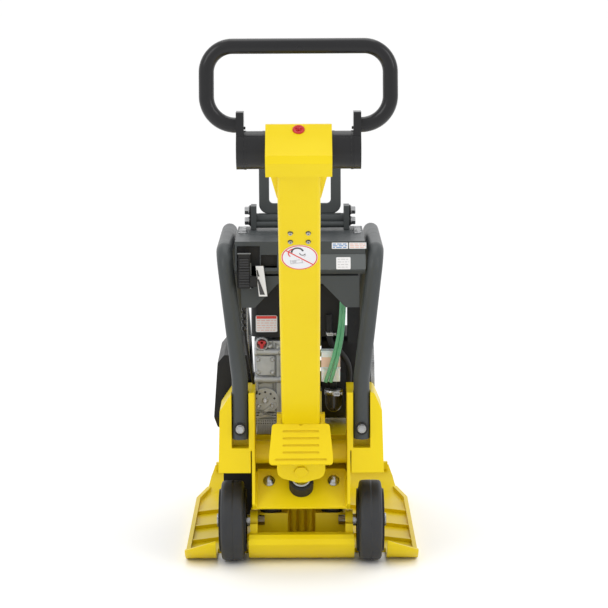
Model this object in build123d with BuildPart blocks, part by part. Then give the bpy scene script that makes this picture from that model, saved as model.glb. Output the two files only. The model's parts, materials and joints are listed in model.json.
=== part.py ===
"""Reversible vibratory plate compactor, modelled piece by piece.

Frame: origin at the centre of the base plate's flat contact face, +X to the right as the
operator sees it, +Y forward (away from the operator), +Z up. Sizes in millimetres.
"""

import math
import os

from build123d import *

os.makedirs("parts", exist_ok=True)

# Base plate
PLATE_WIDTH = 500.0
PLATE_LENGTH = 700.0
PLATE_THICK = 10.0
CONTACT_HALF = 260.0
REAR_BAR_TOP = 70.0
LIP_RADIUS = 106.0

# Transport wheels
WHEEL_R = 86.0
TREAD_WIDTH = 49.0
HUB_R = 61.9
WHEEL_X = 147.5
WHEEL_Y = -290.0
WHEEL_Z = 89.0
AXLE_R = 8.0
RUN_FIT = 0.06

# Rubber mounts between the two masses
MOUNT_X = 66.0
MOUNT_REAR_Y = -250.0
MOUNT_FRONT_Y = 190.0
MOUNT_R = 27.0
MOUNT_BOTTOM = 100.0
MOUNT_TOP = 135.0

# Exciter: two shafts geared together, counter-rotating
SHAFT_Z = 75.0
SHAFT_R = 16.0
GEAR_TEETH = 23
GEAR_MODULE = 4.0
SHAFT_GAP = GEAR_TEETH * GEAR_MODULE + 1.0
SHAFT_REAR_Y = -66.5
SHAFT_FRONT_Y = SHAFT_REAR_Y + SHAFT_GAP
HOUSING_X = 88.0
HOUSING_TOP = 139.0
BEARING_R = 36.0

# Belt drive on the left side
BELT_X0 = -146.0
BELT_X1 = -124.0
PULLEY_R = 45.0
CLUTCH_R = 55.0
CRANK_Y = -100.0
CRANK_Z = 360.0

# Upper mass
DECK_TOP = 266.0
SIDE_X = 97.0
CONSOLE_X = 175.0
CONSOLE_REAR = -360.0
CONSOLE_FRONT = -246.0
CONSOLE_TOP = 382.0
CONSOLE_BOTTOM = 209.0
LEG_X = 128.0
LEG_Y = CONSOLE_REAR + 12
HOOP_R = 17.0
RAIL_Z = 677.0
HOOD_HALF = 136.0
HOOD_TOP = 700.0

# Centre pole, leaning back towards the operator
LEAN = math.radians(40.0)
PIVOT_Y = -290.0
PIVOT_Z = 240.0
PIVOT_R = 25.0
POLE_HALF_WIDTH = 40.0
POLE_HALF_DEPTH = 30.0
POLE_END = 880.0
DRUM_S = 892.0
DRUM_D = -20.0
DRUM_R = 35.0

# Steering loop
LOOP_R = 14.0
LOOP_X = 168.0
LOOP_LOW = 46.0
LOOP_HIGH = 190.0
FLANGE_X0 = 100.6
FLANGE_X1 = 114.6

SIDES = ((-1, "left"), (1, "right"))


def leaning(s, d):
    """Y and Z of a point s along the pole from its pivot and d behind its centre line."""
    return (
        PIVOT_Y - s * math.sin(LEAN) - d * math.cos(LEAN),
        PIVOT_Z + s * math.cos(LEAN) - d * math.sin(LEAN),
    )


def pole_section(s):
    """Plane square to the pole; its own y runs towards the front."""
    y, z = leaning(s, 0)
    return Plane(origin=(0, y, z), x_dir=(1, 0, 0), z_dir=(0, -math.sin(LEAN), math.cos(LEAN)))


def rod_x(x0, x1, y, z, radius, mode=Mode.ADD):
    """Round bar along X in the part being built."""
    with Locations(((x0 + x1) / 2, y, z)):
        Cylinder(radius, abs(x1 - x0), rotation=(0, 90, 0), mode=mode)


def rod_y(x, y0, y1, z, radius, mode=Mode.ADD):
    """Round bar along Y in the part being built."""
    with Locations((x, (y0 + y1) / 2, z)):
        Cylinder(radius, abs(y1 - y0), rotation=(90, 0, 0), mode=mode)


def rod_z(x, y, z0, z1, radius, mode=Mode.ADD):
    """Round bar along Z in the part being built."""
    with Locations((x, y, (z0 + z1) / 2)):
        Cylinder(radius, abs(z1 - z0), mode=mode)


def block(x0, x1, y0, y1, z0, z1, mode=Mode.ADD):
    """Box between two corners in the part being built."""
    with Locations(((x0 + x1) / 2, (y0 + y1) / 2, (z0 + z1) / 2)):
        Box(abs(x1 - x0), abs(y1 - y0), abs(z1 - z0), mode=mode)


def save(piece, label):
    """Name a finished piece and write its STEP file."""
    piece.part.label = label
    export_step(piece.part, f"parts/{label}.step")


DRUM_Y, DRUM_Z = leaning(DRUM_S, DRUM_D)

# ---------------------------------------------------------------- lower mass
HALF = PLATE_LENGTH / 2
LIP_RISE = LIP_RADIUS - math.sqrt(LIP_RADIUS**2 - (HALF - CONTACT_HALF) ** 2)
WING_TAPER_Y = 183.0
NOTCH_IN = 113.0
NOTCH_OUT = 183.0
NOTCH_END = -232.0
RIM_TOP = 20.0
RIM_WIDE = 9.0

with BuildPart() as base_plate:
    with BuildSketch(Plane.YZ) as plate_side:
        with BuildLine():
            Line((-CONTACT_HALF, 0), (CONTACT_HALF, 0))
            RadiusArc((CONTACT_HALF, 0), (HALF, LIP_RISE), -LIP_RADIUS)
            Line((HALF, LIP_RISE), (HALF, LIP_RISE + 9))
            RadiusArc((HALF, LIP_RISE + 9), (CONTACT_HALF, PLATE_THICK), LIP_RADIUS)
            Line((CONTACT_HALF, PLATE_THICK), (-CONTACT_HALF, PLATE_THICK))
            RadiusArc((-CONTACT_HALF, PLATE_THICK), (-HALF, LIP_RISE + 9), LIP_RADIUS)
            Line((-HALF, LIP_RISE + 9), (-HALF, LIP_RISE))
            RadiusArc((-HALF, LIP_RISE), (-CONTACT_HALF, 0), -LIP_RADIUS)
        make_face()
    extrude(amount=PLATE_WIDTH / 2, both=True)
    # raised rims along both wings, then three slanting ribs on each
    for side, _ in SIDES:
        with BuildSketch(Plane.XY.offset(PLATE_THICK - 1)):
            with BuildLine():
                Polyline(
                    (side * 250, -HALF + 45),
                    (side * 250, WING_TAPER_Y),
                    (side * 229, 290),
                    (side * (229 - RIM_WIDE), 290),
                    (side * (250 - RIM_WIDE), WING_TAPER_Y),
                    (side * (250 - RIM_WIDE), -HALF + 45),
                    close=True,
                )
            make_face()
        extrude(amount=RIM_TOP - PLATE_THICK + 1)
        for rib_y in (-160, -40, 90):
            with BuildSketch(Plane.XY.offset(PLATE_THICK - 1)):
                with Locations((side * 180, rib_y)):
                    SlotOverall(146, 7, rotation=side * -24)
            extrude(amount=9)
    # rear cross bar and its rounded top edge
    with BuildSketch(Plane.YZ):
        with BuildLine():
            Polyline(
                (-HALF, LIP_RISE), (-HALF, 62), (-HALF + 8, REAR_BAR_TOP), (-HALF + 30, REAR_BAR_TOP),
                (-HALF + 38, 20), close=True,
            )
        make_face()
    extrude(amount=112, both=True)
    # front lip ridge
    with BuildSketch(Plane.XY.offset(LIP_RISE)):
        with Locations((0, HALF - 8)):
            Rectangle(418, 14)
    extrude(amount=18)
    # plan outline
    with BuildSketch() as outline:
        with BuildLine():
            Polyline(
                (-250, -HALF + 6), (-244, -HALF), (244, -HALF), (250, -HALF + 6),
                (250, WING_TAPER_Y), (221, 330), (212, HALF), (-212, HALF),
                (-221, 330), (-250, WING_TAPER_Y), close=True,
            )
        make_face()
    extrude(amount=200, mode=Mode.INTERSECT)
    # the rear corners fall away outside the wheels
    for side, _ in SIDES:
        with BuildSketch(Plane.XZ.offset(CONTACT_HALF)):
            with BuildLine():
                Polyline((side * 178, 61), (side * 260, 31), (side * 260, 90), (side * 178, 90), close=True)
            make_face()
        extrude(amount=120, mode=Mode.SUBTRACT)
        block(side * NOTCH_IN, side * NOTCH_OUT, -HALF - 5, NOTCH_END, -5, 100, mode=Mode.SUBTRACT)
    # cheeks that carry the wheel axles, and pads under the rubber mounts
    for side, _ in SIDES:
        with BuildSketch(Plane.YZ.offset(side * 102)):
            with BuildLine():
                Polyline(
                    (-326, WHEEL_Z), (-326, 28), (-300, 12), (-260, 6), (-236, 6), (-236, WHEEL_Z), close=True
                )
            make_face()
        extrude(amount=8, both=True)
        rod_x(side * 94, side * 110, WHEEL_Y, WHEEL_Z, 22)
        block(side * 30, side * 95, MOUNT_REAR_Y - 24, MOUNT_REAR_Y + 24, 6, MOUNT_BOTTOM)
        block(side * 48, side * 84, MOUNT_FRONT_Y - 24, MOUNT_FRONT_Y + 24, 6, MOUNT_BOTTOM)
        rod_x(side * 90, side * 114, WHEEL_Y, WHEEL_Z, AXLE_R, mode=Mode.SUBTRACT)
    block(-84, 84, MOUNT_FRONT_Y - 6, MOUNT_FRONT_Y + 6, 6, 60)
save(base_plate, "base_plate")

with BuildPart() as exciter_housing:
    block(-HOUSING_X, HOUSING_X, -132, 92, PLATE_THICK, HOUSING_TOP)
    fillet(exciter_housing.edges().filter_by(Axis.X).group_by(Axis.Z)[-1], 26)
    block(-HOUSING_X - 12, HOUSING_X + 12, -150, -120, PLATE_THICK, 22)
    block(-HOUSING_X - 12, HOUSING_X + 12, 80, 110, PLATE_THICK, 22)
    # rounded ribs down the rear face
    for rib_x in (-34, -17, 0, 17, 34):
        rod_z(rib_x, -132, 22, 112, 6)
    for rib_x in (-60, -30, 0, 30, 60):
        block(rib_x - 3, rib_x + 3, -100, 60, HOUSING_TOP - 4, HOUSING_TOP + 6)
    # gear and weight chamber, and the bearing bores
    for shaft_y in (SHAFT_REAR_Y, SHAFT_FRONT_Y):
        rod_x(-70, 70, shaft_y, SHAFT_Z, 53, mode=Mode.SUBTRACT)
        rod_x(-HOUSING_X - 1, HOUSING_X + 1, shaft_y, SHAFT_Z, BEARING_R, mode=Mode.SUBTRACT)
    block(-70, 70, SHAFT_REAR_Y, SHAFT_FRONT_Y, 30, 120, mode=Mode.SUBTRACT)
save(exciter_housing, "exciter_housing")

with BuildPart() as exciter_covers:
    for side, _ in SIDES:
        with BuildSketch(Plane.YZ.offset(side * (HOUSING_X + 5))):
            with Locations(((SHAFT_REAR_Y + SHAFT_FRONT_Y) / 2, SHAFT_Z)):
                SlotCenterToCenter(SHAFT_GAP, 88)
        extrude(amount=5, both=True)
    rod_x(-HOUSING_X - 20, -HOUSING_X + 5, SHAFT_REAR_Y, SHAFT_Z, SHAFT_R + 2, mode=Mode.SUBTRACT)
save(exciter_covers, "exciter_covers")

with BuildPart() as exciter_bearings:
    for side, _ in SIDES:
        for shaft_y in (SHAFT_REAR_Y, SHAFT_FRONT_Y):
            rod_x(side * 70, side * 87, shaft_y, SHAFT_Z, BEARING_R - 0.05)
            rod_x(side * 69, side * 88, shaft_y, SHAFT_Z, SHAFT_R + RUN_FIT, mode=Mode.SUBTRACT)
save(exciter_bearings, "exciter_bearings")


def gear_outline(teeth, module, phase):
    """Corner points of a straight-flanked gear with generous backlash."""
    points = []
    pitch = 2 * math.pi / teeth
    outer = module * teeth / 2 + 0.85 * module
    root = module * teeth / 2 - 1.2 * module
    for tooth in range(teeth):
        centre = (tooth + phase) * pitch
        for radius, offset in ((root, -0.25), (outer, -0.11), (outer, 0.11), (root, 0.25)):
            angle = centre + offset * pitch
            points.append((radius * math.cos(angle), radius * math.sin(angle)))
    return points


for label, shaft_y, low, phase in (
    ("exciter_shaft_rear", SHAFT_REAR_Y, BELT_X0 - 4, 0.0),
    ("exciter_shaft_front", SHAFT_FRONT_Y, -86, 0.0),
):
    with BuildPart() as exciter_shaft:
        rod_x(low, 86, shaft_y, SHAFT_Z, SHAFT_R)
        with BuildSketch(Plane.YZ.offset(40)):
            with Locations((shaft_y, SHAFT_Z)):
                Polygon(*gear_outline(GEAR_TEETH, GEAR_MODULE, phase), align=None)
        extrude(amount=18)
        # eccentric weight hanging below the shaft
        with BuildSketch(Plane.YZ.offset(-55)):
            with Locations((shaft_y, SHAFT_Z)):
                Circle(42)
                with Locations((0, 27)):
                    Rectangle(90, 54, mode=Mode.SUBTRACT)
        extrude(amount=80)
    save(exciter_shaft, label)

with BuildPart() as exciter_pulley:
    rod_x(BELT_X0, BELT_X1, SHAFT_REAR_Y, SHAFT_Z, PULLEY_R)
    rod_x(BELT_X0 + 5, BELT_X1 - 5, SHAFT_REAR_Y, SHAFT_Z, PULLEY_R + 1)
    with BuildSketch(Plane.XY.offset(SHAFT_Z)) as pulley_groove:
        with BuildLine():
            Polyline(
                (-144, SHAFT_REAR_Y - 50), (-126, SHAFT_REAR_Y - 50),
                (-128, SHAFT_REAR_Y - 35.5), (-142, SHAFT_REAR_Y - 35.5), close=True,
            )
        make_face()
    revolve(axis=Axis((0, SHAFT_REAR_Y, SHAFT_Z), (1, 0, 0)), mode=Mode.SUBTRACT)
    rod_x(BELT_X0 - 1, BELT_X1 + 1, SHAFT_REAR_Y, SHAFT_Z, SHAFT_R, mode=Mode.SUBTRACT)
save(exciter_pulley, "exciter_pulley")

with BuildPart() as shock_mounts:
    for mount_y in (MOUNT_REAR_Y, MOUNT_FRONT_Y):
        for side, _ in SIDES:
            with BuildSketch(Plane.XZ.offset(-mount_y)):
                with BuildLine():
                    Polyline(
                        (side * MOUNT_X, MOUNT_BOTTOM), (side * (MOUNT_X + MOUNT_R - 4), MOUNT_BOTTOM),
                        (side * (MOUNT_X + MOUNT_R), MOUNT_BOTTOM + 6),
                        (side * (MOUNT_X + MOUNT_R), MOUNT_TOP - 6),
                        (side * (MOUNT_X + MOUNT_R - 4), MOUNT_TOP), (side * MOUNT_X, MOUNT_TOP), close=True,
                    )
                make_face()
            revolve(axis=Axis((side * MOUNT_X, mount_y, 0), (0, 0, 1)))
save(shock_mounts, "shock_mounts")

# ---------------------------------------------------------------- wheels
with BuildPart() as wheel_axles:
    for side, _ in SIDES:
        rod_x(side * 84, side * 179, WHEEL_Y, WHEEL_Z, AXLE_R)
        rod_x(side * 110, side * 117, WHEEL_Y, WHEEL_Z, 13)
save(wheel_axles, "wheel_axles")

for side, tag in SIDES:
    centre_x = side * WHEEL_X
    spin = Axis((0, WHEEL_Y, WHEEL_Z), (1, 0, 0))
    with BuildPart() as tyre:
        with BuildSketch(Plane.XZ.offset(-WHEEL_Y)):
            with Locations((centre_x, WHEEL_Z + (WHEEL_R + 62) / 2)):
                RectangleRounded(TREAD_WIDTH, WHEEL_R - 62, 5)
            with Locations((centre_x, WHEEL_Z + WHEEL_R - 1)):
                Rectangle(2.4, 2.6)
        revolve(axis=spin)
    save(tyre, f"tyre_{tag}")
    with BuildPart() as wheel_hub:
        rod_x(centre_x - 24.4, centre_x + 24.4, WHEEL_Y, WHEEL_Z, HUB_R)
        for face in (-1, 1):
            rod_x(centre_x + face * 24.6, centre_x + face * 29, WHEEL_Y, WHEEL_Z, 67)
            rod_x(centre_x + face * 22, centre_x + face * 26, WHEEL_Y, WHEEL_Z, HUB_R)
            with BuildSketch(Plane.YZ.offset(centre_x + face * 30)):
                with Locations((WHEEL_Y, WHEEL_Z)):
                    Circle(56)
                    Circle(24, mode=Mode.SUBTRACT)
            extrude(amount=-face * 7, mode=Mode.SUBTRACT)
            for spoke in range(6):
                with BuildSketch(Plane.YZ.offset(centre_x + face * 23)):
                    with Locations((WHEEL_Y, WHEEL_Z)):
                        with PolarLocations(40, 1, start_angle=60 * spoke):
                            Rectangle(36, 6)
                extrude(amount=face * 5)
        rod_x(centre_x - 32, centre_x + 32, WHEEL_Y, WHEEL_Z, AXLE_R + RUN_FIT, mode=Mode.SUBTRACT)
    save(wheel_hub, f"wheel_hub_{tag}")

# housing bolts, axle nuts and the caps on the axles' outer ends
with BuildPart() as lower_fasteners:
    for bolt_x in (-80, 80):
        for bolt_y in (-141, 101):
            with BuildSketch(Plane.XY.offset(22)):
                with Locations((bolt_x, bolt_y)):
                    RegularPolygon(9, 6)
            extrude(amount=9)
    for side, _ in SIDES:
        with BuildSketch(Plane.YZ.offset(side * 86.5)):
            with Locations((WHEEL_Y, WHEEL_Z)):
                RegularPolygon(10.8, 6)
                Circle(AXLE_R, mode=Mode.SUBTRACT)
        extrude(amount=7, both=True)
        rod_x(side * 179, side * 182, WHEEL_Y, WHEEL_Z, 14)
save(lower_fasteners, "lower_fasteners")

# ---------------------------------------------------------------- upper frame
INCLINE = math.atan2(81.0, 75.0)
INCLINE_ORIGIN = (-355.0, 131.0)


def on_incline(t, n):
    """Y and Z of a point t up the sloping rear plate and n out of its middle plane."""
    return (
        INCLINE_ORIGIN[0] + t * math.cos(INCLINE) - n * math.sin(INCLINE),
        INCLINE_ORIGIN[1] + t * math.sin(INCLINE) + n * math.cos(INCLINE),
    )


with BuildPart() as engine_deck:
    block(-102, 102, -245, 235, DECK_TOP - 8, DECK_TOP)
    for side, _ in SIDES:
        block(side * 97, side * 102, -237, 235, 160, DECK_TOP - 8)
    block(-102, 102, 227, 235, MOUNT_TOP, DECK_TOP - 8)
    block(-140, 140, 235, 244.8, 182, DECK_TOP - 8)
    block(-97, 97, 155, 230, MOUNT_TOP, MOUNT_TOP + 8)
    block(-102, 102, -245, -236, 160, DECK_TOP)
    block(-94, 94, -245, -236, MOUNT_TOP, 162)
    block(-94, 94, -302, -222, MOUNT_TOP, MOUNT_TOP + 8)
save(engine_deck, "engine_deck")

with BuildPart() as rear_plate:
    with BuildSketch(Plane.YZ):
        with BuildLine():
            Polyline(on_incline(0, -4), on_incline(0, 4), on_incline(94, 4), (-245, 202.6))
            Polyline((-245, 202.6), (-245, 195.5), on_incline(91, -4), on_incline(0, -4))
        make_face()
    extrude(amount=94, both=True)
    for side, _ in SIDES:
        with BuildSketch(Plane.YZ.offset(side * 95.5)):
            with BuildLine():
                Polyline(
                    on_incline(0, -4), on_incline(0, 12), on_incline(84, 12), on_incline(94, -4), close=True
                )
            make_face()
        extrude(amount=1.5, both=True)
save(rear_plate, "rear_plate")

with BuildPart() as pivot_tube:
    rod_x(-SIDE_X, SIDE_X, PIVOT_Y, PIVOT_Z, PIVOT_R)
    rod_x(-SIDE_X - 1, SIDE_X + 1, PIVOT_Y, PIVOT_Z, 12.5, mode=Mode.SUBTRACT)
save(pivot_tube, "pivot_tube")

with BuildPart() as pivot_pin:
    rod_x(-SIDE_X, SIDE_X, PIVOT_Y, PIVOT_Z, 12.4)
save(pivot_pin, "pivot_pin")

for side, tag in SIDES:
    corner_x = 146 if side < 0 else 155
    with BuildPart() as console:
        # boxed arch over the wheel; the left one has a cut corner, the right one a round one
        with BuildSketch(Plane.XZ.offset(-CONSOLE_REAR)):
            with BuildLine():
                Polyline(
                    (side * SIDE_X, CONSOLE_TOP), (side * SIDE_X, 262), (side * 106, 256),
                    (side * 106, CONSOLE_BOTTOM), (side * CONSOLE_X, CONSOLE_BOTTOM),
                    (side * 171, 343), (side * corner_x, CONSOLE_TOP - 2),
                    (side * (corner_x - 4), CONSOLE_TOP), close=True,
                )
            make_face()
        extrude(amount=CONSOLE_REAR - CONSOLE_FRONT)
        # open underneath, over the wheel
        block(side * 112, side * 169, CONSOLE_REAR + 6, CONSOLE_FRONT + 1, 200, 250, mode=Mode.SUBTRACT)
        # upright channel for the frame's leg
        block(side * 110, side * 146, CONSOLE_REAR - 1, CONSOLE_REAR + 30, 263, 400, mode=Mode.SUBTRACT)
        # inner cheek, down to the sloping plate
        with BuildSketch(Plane.YZ.offset(side * SIDE_X)):
            with BuildLine():
                Polyline(
                    (CONSOLE_REAR, 262), (CONSOLE_REAR, 205), (-364, 142), (-345, 126), (-328, 134),
                    (-300, 144), (-246, 144), (-246, 262), close=True,
                )
            make_face()
        extrude(amount=side * 7)
    save(console, f"console_{tag}")

with BuildPart() as buffer:
    by, bz = on_incline(50.5, 4.0)
    buffer_plane = Plane(
        origin=(0, by, bz), x_dir=(1, 0, 0), z_dir=(0, -math.sin(INCLINE), math.cos(INCLINE))
    )
    with BuildSketch(buffer_plane):
        Circle(26)
    extrude(amount=34)
    fillet(buffer.faces().sort_by(Axis.Z)[-1].edges(), 4)
save(buffer, "rubber_buffer")

# ---------------------------------------------------------------- protective frame
for side, tag in SIDES:
    with BuildPart() as hoop:
        with BuildLine() as hoop_path:
            FilletPolyline(
                (side * LEG_X, LEG_Y, 282), (side * LEG_X, LEG_Y, 410), (side * 159, LEG_Y + 6, RAIL_Z),
                (side * 159, 60, RAIL_Z), (side * 138, 262, 440), (side * 122, 262, 188),
                radius=(90, 42, 90, 70),
            )
        with BuildSketch(Plane.XY.offset(282)):
            with Locations((side * LEG_X, LEG_Y)):
                Circle(HOOP_R)
        sweep(path=hoop_path.line, transition=Transition.ROUND)
    save(hoop, f"frame_hoop_{tag}")

SHEET = 3.0
with BuildPart() as hood:
    with BuildSketch(Plane.YZ):
        with BuildLine():
            Polyline((-80, 700), (-340, 700), (-340, 674), (-354, 640), (-347, 632))
            Polyline((-347, 632), (-344, 634), (-350.5, 640.5), (-337, 673), (-337, 697), (-80, 697))
            Line((-80, 697), (-80, 700))
        make_face()
    extrude(amount=HOOD_HALF, both=True)
    block(-82, -48, -360, -338, 646, 672, mode=Mode.SUBTRACT)
    block(-132, -84, -360, -336.5, 600, 690, mode=Mode.SUBTRACT)
    for side, _ in SIDES:
        block(side * (HOOD_HALF - 3), side * HOOD_HALF, -340, -80, 650, 699)
save(hood, "hood")

with BuildPart() as lower_panel:
    with BuildSketch(Plane.XZ.offset(342)):
        with BuildLine():
            Polyline(
                (-124, 628), (124, 628), (124, 561), (95, 561), (47, 611),
                (-47, 611), (-95, 561), (-124, 561), close=True,
            )
        make_face()
    extrude(amount=SHEET)
    block(-132, -98, -350, -330, 602, 640, mode=Mode.SUBTRACT)
save(lower_panel, "lower_panel")

with BuildPart() as lift_eye:
    with BuildSketch(Plane.XZ.offset(119)):
        with Locations((0, 812)):
            RectangleRounded(178, 156, 20)
            RectangleRounded(134, 112, 9, mode=Mode.SUBTRACT)
    extrude(amount=12)
save(lift_eye, "lifting_eye")

with BuildPart() as lift_beam:
    for side, _ in SIDES:
        block(side * 95, side * 107, -148, -102, 701, 752)
    rod_x(-95, 95, -125, 722, 12)
    rod_x(-95, 95, -140, 711, 7)
    block(-89, 89, -131, -119, 722, 734)
save(lift_beam, "lift_beam")

# buffer ring, dome nuts of the rear plate, leg bolts, eye bolts and hood bolts
with BuildPart() as upper_fasteners:
    with BuildSketch(buffer_plane.offset(34)):
        Circle(20)
        Circle(11, mode=Mode.SUBTRACT)
    extrude(amount=4)
    for side, _ in SIDES:
        dome_y, dome_z = on_incline(64, 4.0)
        dome = Plane(
            origin=(side * 69, dome_y, dome_z), x_dir=(1, 0, 0),
            z_dir=(0, -math.sin(INCLINE), math.cos(INCLINE)),
        )
        with BuildSketch(dome):
            Circle(13)
        extrude(amount=3)
        with BuildSketch(dome.offset(3)):
            RegularPolygon(10.5, 6)
        extrude(amount=7)
        with BuildSketch(dome.offset(10)):
            Circle(7)
        extrude(amount=3)
        rod_y(side * LEG_X, LEG_Y - HOOP_R - 3.5, LEG_Y - HOOP_R, 306, 13)
        with BuildSketch(Plane.XZ.offset(-LEG_Y + HOOP_R + 3.5)):
            with Locations((side * LEG_X, 306)):
                RegularPolygon(9.5, 6)
        extrude(amount=6)
        for bolt_z in (739, 716):
            rod_x(side * 107, side * 111, -113, bolt_z, 10)
            with BuildSketch(Plane.YZ.offset(side * 111)):
                with Locations((-113, bolt_z)):
                    RegularPolygon(9, 6)
            extrude(amount=side * 11)
        for bolt_y in (-196, -160):
            with BuildSketch(Plane.XY.offset(HOOD_TOP)):
                with Locations((side * 123, bolt_y)):
                    RegularPolygon(8, 6)
            extrude(amount=9)
save(upper_fasteners, "upper_fasteners")

# ---------------------------------------------------------------- throttle
THROTTLE_Y = -352.0
with BuildPart() as throttle_housing:
    block(-128, -104, THROTTLE_Y - 22, THROTTLE_Y + 12, 606, 678)
    for groove in range(9):
        groove_z = 612 + 7 * groove
        block(-129, -103, THROTTLE_Y - 23, THROTTLE_Y - 19, groove_z, groove_z + 2, mode=Mode.SUBTRACT)
save(throttle_housing, "throttle_housing")

with BuildPart() as throttle_lever:
    rod_x(-103.6, -97, THROTTLE_Y - 4, 622, 9)
    block(-103.6, -98, THROTTLE_Y - 30, THROTTLE_Y - 4, 616, 628)
    block(-103.6, -88, THROTTLE_Y - 36, THROTTLE_Y - 30, 612, 632)
save(throttle_lever, "throttle_lever")

# ---------------------------------------------------------------- engine
with BuildPart() as crankcase:
    block(-100, 42, -232, 30, DECK_TOP, 470)
    fillet(crankcase.edges().filter_by(Axis.Z), 10)
    # stiffening bosses and rails on the rear face
    for boss_z in (386, 447):
        rod_x(-100, 30, -232, boss_z, 8)
        rod_x(-92, -84, -232, boss_z, 10)
    for rail_x in (-50, 20):
        block(rail_x - 2.5, rail_x + 2.5, -238, -230, 300, 462)
    block(-94, -56, -235, -230, 398, 436)
    for fin in range(6):
        block(-100, -54, -239, -230, 286 + 6 * fin, 289 + 6 * fin)
    rod_z(-83, -224, 468, 476, 11)
    # crank chamber and shaft bores
    rod_x(-84, 26, CRANK_Y, CRANK_Z, 76, mode=Mode.SUBTRACT)
    block(-62, 4, CRANK_Y - 33, CRANK_Y + 33, CRANK_Z, 475, mode=Mode.SUBTRACT)
    rod_x(-101, 43, CRANK_Y, CRANK_Z, 17 + RUN_FIT, mode=Mode.SUBTRACT)
save(crankcase, "crankcase")

with BuildPart() as cylinder:
    rod_z(-29, CRANK_Y, 470, 556, 46)
    for fin in range(7):
        block(-86, 28, CRANK_Y - 58, CRANK_Y + 58, 478 + 11 * fin, 482 + 11 * fin)
    rod_z(-29, CRANK_Y, 469, 557, 33, mode=Mode.SUBTRACT)
    block(-86, 28, CRANK_Y - 58, CRANK_Y + 58, 556, 578)
    for fin in range(5):
        block(-80, 22, CRANK_Y - 50 + 24 * fin, CRANK_Y - 46 + 24 * fin, 576, 590)
save(cylinder, "cylinder")

with BuildPart() as crankshaft:
    rod_x(-119, 60, CRANK_Y, CRANK_Z, 17)
    for web_x in (-52, -16):
        rod_x(web_x, web_x + 10, CRANK_Y, CRANK_Z, 60)
    rod_x(-45, -10, CRANK_Y, CRANK_Z, 18, mode=Mode.SUBTRACT)
    rod_x(-44, -14, CRANK_Y, CRANK_Z + 34, 15)
save(crankshaft, "crankshaft")

with BuildPart() as connecting_rod:
    rod_x(-38, -20, CRANK_Y, CRANK_Z + 34, 24)
    block(-35, -23, CRANK_Y - 9, CRANK_Y + 9, CRANK_Z + 50, 512)
    rod_x(-38, -20, CRANK_Y, 518, 14)
    rod_x(-40, -18, CRANK_Y, CRANK_Z + 34, 15 + RUN_FIT, mode=Mode.SUBTRACT)
    rod_x(-40, -18, CRANK_Y, 518, 9 + RUN_FIT, mode=Mode.SUBTRACT)

with BuildPart() as piston_body:
    rod_z(-29, CRANK_Y, 498, 548, 32.9)
    rod_z(-29, CRANK_Y, 497, 536, 27, mode=Mode.SUBTRACT)
    rod_x(-58, 0, CRANK_Y, 518, 9)

with BuildPart() as piston_set:
    add(connecting_rod.part)
    add(piston_body.part)
save(piston_set, "piston_and_rod")

with BuildPart() as flywheel:
    rod_x(60, 92, CRANK_Y, CRANK_Z, 74)
    for vane in range(10):
        with BuildSketch(Plane.YZ.offset(91)):
            with Locations((CRANK_Y, CRANK_Z)):
                with PolarLocations(52, 1, start_angle=36 * vane):
                    Rectangle(34, 5)
        extrude(amount=16)
    rod_x(59, 62, CRANK_Y, CRANK_Z, 40, mode=Mode.SUBTRACT)
save(flywheel, "flywheel")

with BuildPart() as fan_shroud:
    rod_x(46, 152, CRANK_Y, CRANK_Z, 86)
    block(46, 140, CRANK_Y - 80, CRANK_Y + 80, CRANK_Z, 470)
    fillet(fan_shroud.edges().filter_by(Axis.X).group_by(Axis.Z)[-1], 14)
    rod_x(50, 148, CRANK_Y, CRANK_Z, 80, mode=Mode.SUBTRACT)
    rod_x(40, 51, CRANK_Y, CRANK_Z, 44, mode=Mode.SUBTRACT)
    for vent in range(12):
        with BuildSketch(Plane.YZ.offset(140)):
            with Locations((CRANK_Y, CRANK_Z)):
                with PolarLocations(44, 1, start_angle=30 * vent):
                    SlotOverall(36, 8)
        extrude(amount=14, mode=Mode.SUBTRACT)
save(fan_shroud, "fan_shroud")

with BuildPart() as shroud_ring:
    rod_x(152, 161, CRANK_Y, CRANK_Z, 84)
    rod_x(150, 157, CRANK_Y, CRANK_Z, 74, mode=Mode.SUBTRACT)
    rod_x(150, 168, CRANK_Y, CRANK_Z, 40, mode=Mode.SUBTRACT)
save(shroud_ring, "shroud_ring")

with BuildPart() as top_shroud:
    block(-106, 96, -236, 60, 480, 600)
    fillet(top_shroud.edges().filter_by(Axis.Z), 16)
    fillet(top_shroud.edges().group_by(Axis.Z)[-1], 10)
    block(-100, 90, -230, 70, 470, 594, mode=Mode.SUBTRACT)
save(top_shroud, "top_shroud")

with BuildPart() as fuel_tank:
    block(-112, 112, -215, 45, 602, 690)
    fillet(fuel_tank.edges().filter_by(Axis.Z), 24)
    fillet(fuel_tank.edges().group_by(Axis.Z)[0], 14)
    block(-104, 104, -207, 37, 612, 684, mode=Mode.SUBTRACT)
    rod_z(60, 0, 683, 691, 22, mode=Mode.SUBTRACT)
save(fuel_tank, "fuel_tank")

with BuildPart() as fuel_cap:
    rod_z(60, 0, 676, 690.5, 21.7)
    rod_z(60, 0, 690.5, 712, 28)
    for grip in range(12):
        with Locations((60, 0, 702)):
            with PolarLocations(28, 1, start_angle=30 * grip):
                Cylinder(2.5, 14, mode=Mode.SUBTRACT)
save(fuel_cap, "fuel_cap")

with BuildPart() as air_filter:
    rod_z(46, 130, 470, 560, 52)
    rod_z(46, 130, 560, 566, 56)
    rod_z(46, 130, 566, 580, 50)
    block(20, 46, 61, 110, 520, 556)
save(air_filter, "air_filter")

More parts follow.
